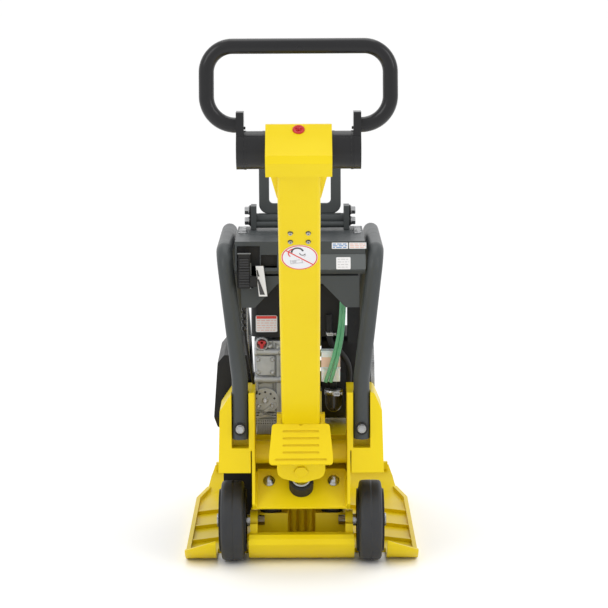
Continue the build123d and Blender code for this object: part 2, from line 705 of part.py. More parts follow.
with BuildPart() as muffler:
    with BuildSketch(Plane.XY.offset(430)):
        with Locations((-56, 130)):
            RectangleRounded(90, 90, 22)
    extrude(amount=130)
    rod_z(-56, 160, 560, 584, 12)
    rod_z(-56, 160, 555, 585, 9, mode=Mode.SUBTRACT)
    block(-40, -20, 61, 90, 500, 530)
save(muffler, "muffler")

with BuildPart() as front_guard:
    with BuildSketch(Plane.XZ.offset(-246)):
        with Locations((0, 330)):
            RectangleRounded(196, 150, 18)
        for slot_z in range(4):
            with Locations((0, 290 + 26 * slot_z)):
                SlotOverall(140, 10, mode=Mode.SUBTRACT)
    extrude(amount=-5)
save(front_guard, "front_guard")

with BuildPart() as oil_cap:
    rod_z(-83, -224, 476, 479, 9)
    rod_y(-83, -250, -238, 468, 7.5)
    block(-86, -80, -256, -250, 461, 475)
save(oil_cap, "oil_cap")

with BuildPart() as governor_linkage:
    with BuildSketch(Plane.XZ.offset(239)):
        with Locations((-74, 343)):
            Circle(26)
            Rectangle(60, 60, align=(Align.CENTER, Align.MAX), mode=Mode.SUBTRACT)
            Rectangle(52, 8, align=(Align.CENTER, Align.MAX))
            with PolarLocations(17, 5, start_angle=20, angular_range=140, endpoint=True):
                Circle(2.2, mode=Mode.SUBTRACT)
    extrude(amount=3)
    rod_y(-74, -248, -242, 350, 5)
    rod_y(-96, -246, -242, 362, 6)
    block(-98, -94, -246, -243, 330, 392)
    for lever_x, lever_z, reach, wide, turn in ((-70, 320, 42, 8, 36), (-80, 306, 30, 6, 12)):
        with BuildSketch(Plane.XZ.offset(243)):
            with Locations((lever_x, lever_z)):
                SlotCenterToCenter(reach, wide, rotation=turn)
        extrude(amount=2.5)
    rod_z(-112, -330, 390, 600, 2.5)
    rod_z(-112, -330, 585, 604, 5)
    block(-114, -110, -330, -244, 386, 392)
    block(-114, -94, -250, -244, 386, 392)
save(governor_linkage, "governor_linkage")

# ---------------------------------------------------------------- fuel and air lines
with BuildPart() as filter_box:
    block(44, 84, -286, -256, 391, 454)
    fillet(filter_box.edges().filter_by(Axis.Z), 4)
save(filter_box, "separator_box")


CUP_X = 70.0
CUP_Y = -262.0
CUP_R = 18.0
CUP_BOTTOM = 320.0
CUP_TOP = 372.0
HOSE_R = 6.5

with BuildPart() as fuel_hoses:
    for shift in (0, 11):
        route = (
            (88 + shift / 2, -300, 590), (86 + shift / 2, -302, 520),
            (62 + shift, -306, 430), (52 + shift, -292, 390),
        )
        with BuildLine() as hose_path:
            FilletPolyline(*route, radius=(90, 40))
        with BuildSketch(Plane(origin=route[0], z_dir=Vector(*route[1]) - Vector(*route[0]))):
            Circle(4.25)
        sweep(path=hose_path.line)
save(fuel_hoses, "fuel_hoses")

with BuildPart() as air_hoses:
    # rubber cup on a short neck below the separator box
    rod_z(CUP_X, CUP_Y, CUP_BOTTOM, CUP_TOP, CUP_R)
    fillet(air_hoses.edges().group_by(Axis.Z)[0], CUP_R - 2)
    rod_z(CUP_X, CUP_Y, CUP_TOP - 1, 391, 7)
    route = ((61, -252, 530), (61, -252, 466), (86, -242, 446), (105, -222, 405), (99, -222, 352))
    with BuildLine() as hose_path:
        FilletPolyline(*route, radius=(14, 24, 30))
    with BuildSketch(Plane(origin=route[0], z_dir=Vector(*route[1]) - Vector(*route[0]))):
        Circle(HOSE_R)
    sweep(path=hose_path.line)
save(air_hoses, "air_hoses")

with BuildPart() as hose_clamps:
    for clamp_x, clamp_y, clamp_z, bore in (
        (CUP_X, CUP_Y, CUP_TOP - 12, CUP_R + 0.1), (61, -252, 486, HOSE_R + 0.1)
    ):
        rod_z(clamp_x, clamp_y, clamp_z, clamp_z + 9, bore + 2.5)
        block(clamp_x - 4, clamp_x + bore + 6, clamp_y - bore - 5, clamp_y - bore - 1.5, clamp_z, clamp_z + 9)
        rod_z(clamp_x, clamp_y, clamp_z - 1, clamp_z + 10, bore, mode=Mode.SUBTRACT)
save(hose_clamps, "hose_clamps")

with BuildPart() as control_box:
    block(101, 127, -250, -180, 467, 550)
    fillet(control_box.edges().filter_by(Axis.Y), 5)
save(control_box, "control_box")

# ---------------------------------------------------------------- belt drive
with BuildPart() as clutch_drum:
    rod_x(BELT_X0 - 2, BELT_X1 + 2, CRANK_Y, CRANK_Z, CLUTCH_R)
    with BuildSketch(Plane.XY.offset(CRANK_Z)):
        with BuildLine():
            Polyline(
                (-144, CRANK_Y - 60), (-126, CRANK_Y - 60),
                (-128, CRANK_Y - 46.5), (-142, CRANK_Y - 46.5), close=True,
            )
        make_face()
    revolve(axis=Axis((0, CRANK_Y, CRANK_Z), (1, 0, 0)), mode=Mode.SUBTRACT)
    rod_x(BELT_X0 - 3, BELT_X0 + 6, CRANK_Y, CRANK_Z, 30, mode=Mode.SUBTRACT)
    for hole in range(6):
        with BuildSketch(Plane.YZ.offset(BELT_X0)):
            with Locations((CRANK_Y, CRANK_Z)):
                with PolarLocations(21, 1, start_angle=60 * hole):
                    Circle(4)
        extrude(amount=12, mode=Mode.SUBTRACT)
save(clutch_drum, "clutch_drum")

BELT_IN_LOW = 36.5
BELT_IN_HIGH = 47.5
BELT_TALL = 9.0
BELT_GAP = math.hypot(CRANK_Y - SHAFT_REAR_Y, CRANK_Z - SHAFT_Z)
BELT_TURN = math.degrees(math.atan2(CRANK_Z - SHAFT_Z, CRANK_Y - SHAFT_REAR_Y))
BELT_SPREAD = math.degrees(math.acos((BELT_IN_HIGH - BELT_IN_LOW) / BELT_GAP))


def belt_edge(extra):
    """Face inside the belt's run round both pulleys, grown outwards by extra."""
    points = []
    for radius, centre in ((BELT_IN_HIGH, (CRANK_Y, CRANK_Z)), (BELT_IN_LOW, (SHAFT_REAR_Y, SHAFT_Z))):
        for hand in (-1, 1):
            angle = math.radians(BELT_TURN + hand * BELT_SPREAD)
            reach = radius + extra
            points.append((centre[0] + reach * math.cos(angle), centre[1] + reach * math.sin(angle)))
    return points


with BuildPart() as v_belt:
    with BuildSketch(Plane.YZ.offset(-141.5)):
        for extra, mode in ((BELT_TALL, Mode.ADD), (0.0, Mode.SUBTRACT)):
            a, b, c, d = belt_edge(extra)
            Polygon(a, b, d, c, align=None, mode=mode)
            with Locations((CRANK_Y, CRANK_Z)):
                Circle(BELT_IN_HIGH + extra, mode=mode)
            with Locations((SHAFT_REAR_Y, SHAFT_Z)):
                Circle(BELT_IN_LOW + extra, mode=mode)
    extrude(amount=13)
save(v_belt, "v_belt")

with BuildPart() as belt_guard:
    with BuildSketch(Plane.XZ.offset(215)):
        with BuildLine():
            Polyline(
                (-112, 436), (-166, 436), (-180, 419), (-189, 300), (-183, 272), (-172, 262),
                (-172, 64), (-112, 64), close=True,
            )
        make_face()
    extrude(amount=-255)
    with BuildSketch(Plane.YZ):
        with BuildLine():
            Polyline(
                (-216, 437), (41, 437), (41, 300), (6, 250), (6, 60), (-156, 60), (-156, 250), (-216, 300),
                close=True,
            )
        make_face()
    extrude(amount=-200, mode=Mode.INTERSECT)
    fillet(belt_guard.edges().filter_by(Plane.XZ).group_by(Axis.X)[0], 3)
    # hollow, open towards the engine
    with BuildSketch(Plane.YZ.offset(-100)):
        with BuildLine():
            Polyline(
                (-211, 430), (36, 430), (36, 302), (1, 252), (1, 50), (-151, 50), (-151, 252), (-211, 302),
                close=True,
            )
        make_face()
    extrude(amount=-68, mode=Mode.SUBTRACT)
    block(-176, -100, -208, 33, 300, 416, mode=Mode.SUBTRACT)
save(belt_guard, "belt_guard")

# ---------------------------------------------------------------- centre pole
REARWARD = (0, -math.cos(LEAN), -math.sin(LEAN))
GUSSET_FACE = Plane(origin=(0, *leaning(0, 20)), x_dir=(1, 0, 0), z_dir=REARWARD)
REAR_FACE = Plane(origin=(0, *leaning(0, POLE_HALF_DEPTH)), x_dir=(1, 0, 0), z_dir=REARWARD)
with BuildPart() as pole:
    with BuildSketch(pole_section(46)):
        RectangleRounded(2 * POLE_HALF_WIDTH, 2 * POLE_HALF_DEPTH, 7)
    extrude(amount=POLE_END - 46)
    # gussets that widen the pole below the head
    with BuildSketch(GUSSET_FACE):
        for side, _ in SIDES:
            with BuildLine():
                Polyline(
                    (side * 39, 806), (side * 41, 806), (side * 53, 868), (side * 53, 880), (side * 39, 880),
                    close=True,
                )
            make_face()
    extrude(amount=-42)
    with BuildSketch(pole_section(45)):
        RectangleRounded(2 * POLE_HALF_WIDTH - 8, 2 * POLE_HALF_DEPTH - 8, 4)
    extrude(amount=790, mode=Mode.SUBTRACT)
    rod_x(-70, 70, DRUM_Y, DRUM_Z, DRUM_R + 1, mode=Mode.SUBTRACT)
save(pole, "pole")

with BuildPart() as pole_head:
    with BuildSketch(Plane.YZ):
        with BuildLine():
            Polyline(
                leaning(850, -58), leaning(850, -32), leaning(880.3, -32), leaning(880.3, 38),
                leaning(884, 42),
                leaning(918, 42), leaning(930, 33), leaning(930, -48), leaning(922, -58), close=True,
            )
        make_face()
    extrude(amount=61, both=True)
    fillet(pole_head.edges().filter_by(Axis.X).group_by(Axis.Z)[-1], 5)
    rod_x(-70, 70, DRUM_Y, DRUM_Z, DRUM_R + RUN_FIT, mode=Mode.SUBTRACT)
save(pole_head, "pole_head")

HEAD_END = Plane(
    origin=(0, *leaning(930, -34)), x_dir=(1, 0, 0), z_dir=(0, -math.sin(LEAN), math.cos(LEAN))
)
with BuildPart() as head_plug:
    with BuildSketch(HEAD_END):
        Circle(11)
    extrude(amount=2.5)
    with BuildSketch(HEAD_END.offset(2.5)):
        Circle(7)
    extrude(amount=1.5)
save(head_plug, "head_plug")

with BuildPart() as pole_screws:
    with BuildSketch(REAR_FACE):
        for screw_s in (697, 721):
            with Locations((-17, screw_s), (17, screw_s)):
                Circle(4.6)
    extrude(amount=2.6)
save(pole_screws, "pole_screws")

TREAD = Plane(origin=(0, -417, 284.5), x_dir=(1, 0, 0), z_dir=(0, -79, 36))
STOP = Plane(
    origin=(0, *on_incline(50.5, 42.4)), x_dir=(1, 0, 0), z_dir=(0, -math.sin(INCLINE), math.cos(INCLINE))
)
with BuildPart() as pole_foot:
    # hub, side cheeks round the pole and the lever arm behind them
    rod_x(-50.5, 50.5, PIVOT_Y, PIVOT_Z, 31)
    with BuildSketch(Plane.YZ):
        with BuildLine():
            Polyline(
                leaning(6, 30), on_incline(90, 41), on_incline(78, 46), on_incline(30, 46),
                on_incline(27, 57),
                (-412, 250), (-398, 312), leaning(132, 30.4), leaning(44, 30.4), leaning(44, -30),
                leaning(0, -30), close=True,
            )
        make_face()
    extrude(amount=50.5, both=True)
    for side, _ in SIDES:
        with BuildSketch(Plane.YZ.offset(side * 45.5)):
            with BuildLine():
                Polyline(
                    leaning(30, -30), leaning(98, -30), leaning(114, -12), leaning(118, 30), leaning(30, 31),
                    close=True,
                )
            make_face()
        extrude(amount=5, both=True)
    # cheeks flare out towards the tread
    with BuildSketch(REAR_FACE):
        for side, _ in SIDES:
            with BuildLine():
                Polyline(
                    (side * 42, 117), (side * 47, 117), (side * 50.5, 102), (side * 59, 86), (side * 60, 44),
                    (side * 42, 44), close=True,
                )
            make_face()
    extrude(amount=-30)
    # rounded lower edge of the arm
    with BuildSketch(Plane.XZ.offset(342)):
        with BuildLine():
            Polyline(
                (-70, 150), (70, 150), (70, 224), (50.5, 224), (48, 212), (40, 204), (24, 199), (10, 194),
                (-10, 194), (-24, 199), (-40, 204), (-48, 212), (-50.5, 224), (-70, 224), close=True,
            )
        make_face()
    extrude(amount=60, mode=Mode.SUBTRACT)
    # grooved tread, facing back and up
    with BuildSketch(TREAD):
        with BuildLine():
            Polyline((-60, 43), (60, 43), (66.5, -26), (66.5, -43), (-66.5, -43), (-66.5, -26), close=True)
        make_face()
        fillet(vertices(), 7)
        with Locations((0, 43)):
            Circle(4, mode=Mode.SUBTRACT)
    extrude(amount=-9)
    with BuildSketch(TREAD):
        for row, wide in enumerate((76, 76, 76, 76, 107)):
            with Locations((0, 27 - 15 * row)):
                SlotOverall(wide, 4.5)
    extrude(amount=-3, mode=Mode.SUBTRACT)
    # adjustable stop that meets the buffer
    with BuildSketch(STOP):
        RegularPolygon(14, 6)
    extrude(amount=5)
    with BuildSketch(pole_section(46)):
        Rectangle(2 * POLE_HALF_WIDTH + 0.2, 2 * POLE_HALF_DEPTH + 0.2)
    extrude(amount=180, mode=Mode.SUBTRACT)
    rod_x(-60, 60, PIVOT_Y, PIVOT_Z, PIVOT_R + RUN_FIT, mode=Mode.SUBTRACT)
save(pole_foot, "pole_foot")

# ---------------------------------------------------------------- steering handle
with BuildPart() as control_drum:
    rod_x(-100.4, 100.4, DRUM_Y, DRUM_Z, DRUM_R)
    for side, _ in SIDES:
        rod_x(side * 96, side * 100.4, DRUM_Y, DRUM_Z, DRUM_R + 1)
        rod_x(side * 61.5, side * 66, DRUM_Y, DRUM_Z, DRUM_R + 0.6)
save(control_drum, "control_drum")

with BuildPart() as handle_loop:
    low = DRUM_Z + LOOP_LOW
    high = DRUM_Z + LOOP_HIGH
    with BuildLine() as loop_path:
        FilletPolyline(
            (-FLANGE_X1, DRUM_Y, low), (-LOOP_X - 1, DRUM_Y, low), (-LOOP_X, DRUM_Y, high),
            (LOOP_X, DRUM_Y, high), (LOOP_X + 1, DRUM_Y, low), (FLANGE_X1, DRUM_Y, low),
            radius=(53, 48, 48, 53),
        )
    with BuildSketch(Plane.YZ.offset(-FLANGE_X1)):
        with Locations((DRUM_Y, low)):
            Circle(LOOP_R)
    sweep(path=loop_path.line)
    for side, _ in SIDES:
        with BuildSketch(Plane.YZ.offset(side * (FLANGE_X0 + FLANGE_X1) / 2)):
            with Locations((DRUM_Y, DRUM_Z)):
                Circle(DRUM_R + 0.5)
                with Locations((0, 35)):
                    RectangleRounded(44, 72, 6)
        extrude(amount=(FLANGE_X1 - FLANGE_X0) / 2, both=True)
save(handle_loop, "handle_loop")
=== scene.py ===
import json
import math
import random

import bmesh
import bpy
from mathutils import Matrix, Vector


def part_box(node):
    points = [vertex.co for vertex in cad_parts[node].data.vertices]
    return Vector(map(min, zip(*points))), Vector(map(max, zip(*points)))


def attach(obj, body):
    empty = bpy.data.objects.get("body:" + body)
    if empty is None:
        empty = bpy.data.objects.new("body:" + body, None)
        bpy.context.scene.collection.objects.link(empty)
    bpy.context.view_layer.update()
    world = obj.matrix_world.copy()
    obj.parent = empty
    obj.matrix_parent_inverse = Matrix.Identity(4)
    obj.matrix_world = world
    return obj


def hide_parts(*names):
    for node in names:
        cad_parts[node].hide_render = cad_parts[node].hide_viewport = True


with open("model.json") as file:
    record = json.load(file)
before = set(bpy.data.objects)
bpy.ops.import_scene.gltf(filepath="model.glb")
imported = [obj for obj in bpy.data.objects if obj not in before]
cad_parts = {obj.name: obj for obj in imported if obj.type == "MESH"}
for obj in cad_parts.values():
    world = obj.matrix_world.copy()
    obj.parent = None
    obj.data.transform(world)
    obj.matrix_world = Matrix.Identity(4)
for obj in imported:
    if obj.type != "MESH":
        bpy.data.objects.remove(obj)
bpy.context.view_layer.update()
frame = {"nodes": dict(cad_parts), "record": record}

MM = 0.001

FULL_TURN = 2 * math.pi

# ------------------------------------------------------------------ places, in metres
RIGHT = Vector((1, 0, 0))
REAR = Vector((0, -1, 0))
UP = Vector((0, 0, 1))
SIDES = (("left", -1), ("right", 1))
POLE = "centre_pole"
UPPER = "upper_mass"

# The pole stands on its pivot and leans back over the operator's side.
PIVOT = Vector((0, -0.290, 0.240))
LEAN = math.radians(40)
ALONG = Vector((0, -math.sin(LEAN), math.cos(LEAN)))
BEHIND = Vector((0, -math.cos(LEAN), -math.sin(LEAN)))
POLE_DEPTH = 0.030

# The rear plate slopes up from its foot, rising 81 for each 75 forward.
INCLINE_FOOT = Vector((0, -0.355, 0.131))
INCLINE = math.atan2(81, 75)
INCLINE_OUT = Vector((0, -math.sin(INCLINE), math.cos(INCLINE)))
INCLINE_UP = Vector((0, math.cos(INCLINE), math.sin(INCLINE)))


def on_pole(x, s, d):
    """Point x across, s along and d behind the pole's centre line, in metres."""
    return PIVOT + RIGHT * x + ALONG * s + BEHIND * d


# ------------------------------------------------------------------ camera, light, floor
CAMERA_LENS = 129.0
CAMERA_SENSOR = 36.0
CAMERA_PLACE = (0.0116, -4.85, 1.29)
CAMERA_DIP = 9.1
CAMERA_ROLL = 0.3
SKY_STRENGTH = 1.04
FLOOR_WHITE = 0.97
FLOOR_SIDE, FLOOR_BACK = 30, 60


def set_camera():
    """Long lens at the operator's side, looking down a little."""
    camera = bpy.data.objects.new("camera", bpy.data.cameras.new("camera"))
    bpy.context.scene.collection.objects.link(camera)
    camera.data.lens = CAMERA_LENS
    camera.data.sensor_width = CAMERA_SENSOR
    camera.data.clip_end = 50
    camera.location = CAMERA_PLACE
    camera.rotation_euler = (math.radians(90 - CAMERA_DIP), math.radians(CAMERA_ROLL), 0)
    bpy.context.scene.camera = camera


def area_light(name, place, target, size, power):
    data = bpy.data.lights.new(name, "AREA")
    data.shape = "RECTANGLE"
    data.size, data.size_y = size
    data.energy = power
    lamp = bpy.data.objects.new(name, data)
    bpy.context.scene.collection.objects.link(lamp)
    lamp.location = place
    lamp.rotation_euler = (Vector(target) - Vector(place)).to_track_quat("-Z", "Y").to_euler()


def set_light():
    """Bright white surround with soft panels left, right and above."""
    world = bpy.data.worlds.new("studio")
    bpy.context.scene.world = world
    world.use_nodes = True
    back = world.node_tree.nodes["Background"]
    back.inputs["Color"].default_value = (1, 1, 1, 1)
    back.inputs["Strength"].default_value = SKY_STRENGTH
    area_light("key_left", (-2.2, -2.6, 2.6), (0, -0.2, 0.5), (1.2, 2.0), 22)
    area_light("key_right", (2.4, -2.2, 2.2), (0, -0.2, 0.5), (0.9, 2.0), 17)
    area_light("top", (0, 0.2, 3.2), (0, -0.1, 0), (2.0, 2.0), 16)
    bpy.context.scene.view_settings.view_transform = "Standard"
    bpy.context.scene.view_settings.exposure = 0.0


def set_floor():
    mesh = bpy.data.meshes.new("floor")
    corners = [
        (-FLOOR_SIDE, -FLOOR_SIDE, 0), (FLOOR_SIDE, -FLOOR_SIDE, 0),
        (FLOOR_SIDE, FLOOR_BACK, 0), (-FLOOR_SIDE, FLOOR_BACK, 0),
    ]
    mesh.from_pydata(corners, [], [(0, 1, 2, 3)])
    floor = bpy.data.objects.new("floor", mesh)
    bpy.context.scene.collection.objects.link(floor)
    paint = bpy.data.materials.new("floor")
    paint.use_nodes = True
    shader = paint.node_tree.nodes["Principled BSDF"]
    shader.inputs["Base Color"].default_value = (FLOOR_WHITE, FLOOR_WHITE, FLOOR_WHITE, 1)
    shader.inputs["Roughness"].default_value = 0.9
    shader.inputs["Specular IOR Level"].default_value = 0.1
    floor.data.materials.append(paint)


set_camera()
set_light()
set_floor()


# ------------------------------------------------------------------ materials
class Paint:
    """A principled material whose colour, roughness and bump come from layered noise."""

    def __init__(self, name, colour, roughness, metallic, **sockets):
        self.material = bpy.data.materials.new(name)
        self.material.use_nodes = True
        self.tree = self.material.node_tree
        self.shader = self.tree.nodes["Principled BSDF"]
        self.shader.inputs["Base Color"].default_value = (*colour, 1)
        self.shader.inputs["Roughness"].default_value = roughness
        self.shader.inputs["Metallic"].default_value = metallic
        self.colour = colour
        self.height = None
        for socket, value in sockets.items():
            self.shader.inputs[socket.replace("_", " ")].default_value = value
        self.place = self.tree.nodes.new("ShaderNodeTexCoord").outputs["Object"]

    def link(self, a, b):
        self.tree.links.new(a, b)

    def noise(self, scale, detail, stretch=None):
        node = self.tree.nodes.new("ShaderNodeTexNoise")
        node.inputs["Scale"].default_value = scale
        node.inputs["Detail"].default_value = detail
        source = self.place
        if stretch:
            mapping = self.tree.nodes.new("ShaderNodeMapping")
            mapping.inputs["Scale"].default_value = stretch
            self.link(source, mapping.inputs["Vector"])
            source = mapping.outputs["Vector"]
        self.link(source, node.inputs["Vector"])
        return node.outputs["Fac"]

    def ramp(self, source, low, high, start=(0, 0, 0), end=(1, 1, 1)):
        node = self.tree.nodes.new("ShaderNodeValToRGB")
        node.color_ramp.elements[0].position = low
        node.color_ramp.elements[1].position = high
        node.color_ramp.elements[0].color = (*start, 1)
        node.color_ramp.elements[1].color = (*end, 1)
        self.link(source, node.inputs["Fac"])
        return node.outputs["Color"]

    def mix(self, factor, a, b):
        """Colour mix, where a and b are colours or sockets."""
        node = self.tree.nodes.new("ShaderNodeMix")
        node.data_type = "RGBA"
        factor_in, a_in, b_in = node.inputs[0], node.inputs[6], node.inputs[7]
        self.link(factor, factor_in)
        for value, socket in ((a, a_in), (b, b_in)):
            if isinstance(value, tuple):
                socket.default_value = (*value, 1)
            else:
                self.link(value, socket)
        return node.outputs[2]

    def cover(self, factor, colour):
        """Lay another colour over the present one where factor is high."""
        base = self.shader.inputs["Base Color"]
        current = base.links[0].from_socket if base.links else self.colour
        self.link(self.mix(factor, current, colour), base)

    def vary_colour(self, scale, other, low, high):
        self.cover(self.ramp(self.noise(scale, 5), low, high), other)

    def vary_roughness(self, scale, low, high, stretch=None):
        node = self.tree.nodes.new("ShaderNodeMapRange")
        node.inputs["To Min"].default_value = low
        node.inputs["To Max"].default_value = high
        self.link(self.noise(scale, 5, stretch), node.inputs["Value"])
        self.link(node.outputs["Result"], self.shader.inputs["Roughness"])

    def bump(self, scale, strength, distance, detail=4, stretch=None):
        """Fine relief, added to what is there already."""
        node = self.tree.nodes.new("ShaderNodeBump")
        node.inputs["Strength"].default_value = strength
        node.inputs["Distance"].default_value = distance
        self.link(self.noise(scale, detail, stretch), node.inputs["Height"])
        if self.height is not None:
            self.link(self.height, node.inputs["Normal"])
        self.height = node.outputs["Normal"]
        self.link(self.height, self.shader.inputs["Normal"])

    def worn_edges(self, colour):
        """Paint rubbed on the sharp edges, broken up by noise."""
        bevel = self.tree.nodes.new("ShaderNodeBevel")
        bevel.samples = 4
        bevel.inputs["Radius"].default_value = 0.0016
        geometry = self.tree.nodes.new("ShaderNodeNewGeometry")
        dot = self.tree.nodes.new("ShaderNodeVectorMath")
        dot.operation = "DOT_PRODUCT"
        self.link(bevel.outputs["Normal"], dot.inputs[0])
        self.link(geometry.outputs["Normal"], dot.inputs[1])
        edge = self.ramp(dot.outputs["Value"], 0.90, 0.985, (1, 1, 1), (0, 0, 0))
        broken = self.ramp(self.noise(140, 6), 0.545, 0.72)
        self.cover(self.mix(edge, (0, 0, 0), broken), colour)


def painted(name, colour, deeper, roughness, wear, coat=0.0):
    """Sprayed paint with slight orange peel, rubbed at the edges."""
    paint = Paint(
        name, colour, roughness, 0.0, Coat_Weight=coat, Coat_Roughness=0.12, Specular_IOR_Level=0.22,
    )
    paint.vary_colour(5, deeper, 0.3, 0.9)
    paint.worn_edges(wear)
    paint.vary_roughness(30, roughness - 0.06, roughness + 0.10)
    paint.bump(420, 0.10, 0.0002)
    paint.bump(45, 0.06, 0.0005, 2)
    return paint.material


def cast_metal(name, colour, deeper, roughness, metallic):
    """Grainy die-cast alloy."""
    paint = Paint(name, colour, roughness, metallic)
    paint.vary_colour(28, deeper, 0.35, 0.75)
    paint.vary_roughness(60, roughness - 0.1, roughness + 0.15)
    paint.bump(300, 0.35, 0.0006, 6)
    return paint.material


def brushed(name, colour, deeper, roughness, stretch=(1, 1, 40)):
    """Steel with fine marks drawn out by stretch."""
    paint = Paint(name, colour, roughness, 1.0)
    paint.vary_colour(50, deeper, 0.3, 0.8)
    paint.vary_roughness(40, roughness - 0.08, roughness + 0.12, stretch)
    paint.bump(160, 0.12, 0.0002, 3, stretch)
    return paint.material


def plastic(name, colour, deeper, roughness, grain, **sockets):
    """Moulded plastic or rubber with a fine grain."""
    paint = Paint(name, colour, roughness, 0.0, **sockets)
    paint.vary_colour(12, deeper, 0.3, 0.8)
    paint.vary_roughness(50, roughness - 0.06, roughness + 0.1)
    paint.bump(grain, 0.22, 0.0003, 3)
    return paint.material


YELLOW = painted("yellow_paint", (0.75, 0.575, 0.003), (0.70, 0.505, 0.002), 0.36, (0.60, 0.42, 0.02), 0.04)
GREY = painted("grey_paint", (0.052, 0.058, 0.060), (0.040, 0.045, 0.047), 0.40, (0.12, 0.13, 0.13), 0.08)
# Lighter grey for the hood's sloping face: painted light, standing for that face turned up to the light.
LIT_SLOPE_GREY = painted("lit_slope_grey_paint", (0.105, 0.115, 0.118), (0.09, 0.098, 0.10), 0.42, (0.2, 0.21, 0.21))
BLACK = painted("black_paint", (0.010, 0.010, 0.011), (0.007, 0.007, 0.008), 0.28, (0.05, 0.05, 0.05), 0.2)
TYRE = plastic(
    "tyre_rubber", (0.026, 0.027, 0.030), (0.018, 0.019, 0.021), 0.46, 260, Specular_IOR_Level=0.35,
)
RUBBER = plastic(
    "black_rubber", (0.014, 0.014, 0.015), (0.010, 0.010, 0.011), 0.55, 400, Specular_IOR_Level=0.3,
)
PLASTIC = plastic(
    "black_plastic", (0.011, 0.011, 0.012), (0.008, 0.008, 0.009), 0.42, 900, Specular_IOR_Level=0.28,
)
GLOSSY = plastic("glossy_black", (0.014, 0.014, 0.015), (0.02, 0.02, 0.022), 0.2, 300)
ALLOY = cast_metal("engine_alloy", (0.46, 0.475, 0.49), (0.34, 0.355, 0.37), 0.46, 0.55)
ALLOY_DARK = cast_metal("engine_alloy_shade", (0.22, 0.23, 0.24), (0.15, 0.155, 0.16), 0.5, 0.5)
ZINC = brushed("zinc_steel", (0.44, 0.445, 0.45), (0.30, 0.305, 0.31), 0.26)
DARK_STEEL = brushed("dark_steel", (0.12, 0.12, 0.125), (0.08, 0.08, 0.085), 0.4)
EXHAUST = brushed("exhaust_steel", (0.34, 0.31, 0.28), (0.22, 0.19, 0.17), 0.5, (1, 1, 1))
RED = plastic("red_plastic", (0.56, 0.012, 0.014), (0.42, 0.008, 0.01), 0.3, 500)
CLEAR = plastic("clear_plastic", (0.80, 0.81, 0.79), (0.72, 0.73, 0.70), 0.3, 300, Subsurface_Weight=0.3)
HOSE = plastic("green_hose", (0.11, 0.45, 0.21), (0.26, 0.62, 0.38), 0.16, 200, Transmission_Weight=0.35)
PEACH = plastic("box_band", (0.80, 0.56, 0.42), (0.74, 0.50, 0.37), 0.35, 300)


def printed(name, colour, deeper):
    """Printed label stock."""
    return plastic(name, colour, deeper, 0.38, 600)


WHITE = printed("label_white", (0.74, 0.74, 0.76), (0.68, 0.68, 0.70))
LABEL_RED = printed("label_red", (0.72, 0.05, 0.04), (0.62, 0.04, 0.03))
LABEL_PINK = printed("label_pink", (0.74, 0.46, 0.42), (0.66, 0.38, 0.34))
LABEL_BLUE = printed("label_blue", (0.16, 0.30, 0.56), (0.12, 0.24, 0.48))
# Dark ink for print, also used as painted shade in screw sockets, plate holes and clamp slots.
DARK_PRINT_AND_SHADE = printed("dark_print_and_shade", (0.05, 0.05, 0.055), (0.04, 0.04, 0.045))
LABEL_GREY = printed("label_grey", (0.52, 0.52, 0.54), (0.46, 0.46, 0.48))

SLOT_MATERIAL = {
    "yellow_paint": YELLOW, "grey_paint": GREY, "black_paint": BLACK, "tyre_rubber": TYRE,
    "black_rubber": RUBBER, "black_plastic": PLASTIC, "engine_alloy": ALLOY, "zinc_steel": ZINC,
    "dark_steel": DARK_STEEL, "red_plastic": RED, "clear_plastic": CLEAR, "green_hose": HOSE,
    "exhaust_steel": EXHAUST,
}
SLOT_OF = {row["node"]: row["material_slot"] for row in frame["record"]["subparts"]}
WELD_GAP = 0.00002
SHARP_ANGLE = math.radians(32)

# Rounding of the sharp edges in millimetres, where it isn't FINE_EDGE.
FINE_EDGE = 0.6
BEVEL_WIDE = {
    "base_plate": 2.5, "pole": 1.2, "pole_head": 4.0, "pole_foot": 2.2, "console_left": 2.2,
    "console_right": 2.2, "handle_loop": 1.5, "hood": 0.8, "lifting_eye": 2.0, "lift_beam": 1.2,
    "crankcase": 1.6, "belt_guard": 2.5, "exciter_housing": 2.5, "rear_plate": 1.5,
}


def soften(piece, width):
    """Small rounded edges with even shading, whatever the piece's own mesh is."""
    for polygon in piece.data.polygons:
        polygon.use_smooth = True
    weld = piece.modifiers.new("weld", "WELD")
    weld.merge_threshold = WELD_GAP
    bevel = piece.modifiers.new("edges", "BEVEL")
    bevel.width = width
    bevel.segments = 3
    bevel.limit_method = "ANGLE"
    bevel.angle_limit = SHARP_ANGLE
    bevel.use_clamp_overlap = True
    bevel.harden_normals = True
    normals = piece.modifiers.new("normals", "WEIGHTED_NORMAL")
    normals.keep_sharp = True


for name, node in frame["nodes"].items():
    node.data.materials.clear()
    node.data.materials.append(SLOT_MATERIAL[SLOT_OF[name]])
    if "custom_normal" in node.data.attributes:
        node.data.attributes.remove(node.data.attributes["custom_normal"])
    soften(node, BEVEL_WIDE.get(name, FINE_EDGE) * MM)


# ------------------------------------------------------------------ builders of small pieces
def place_matrix(origin, out, up):
    """Matrix whose z runs along out and whose y runs as near to up as it can."""
    z = Vector(out).normalized()
    x = Vector(up).cross(z).normalized()
    y = z.cross(x)
    matrix = Matrix((x, y, z)).transposed().to_4x4()
    matrix.translation = Vector(origin)
    return matrix


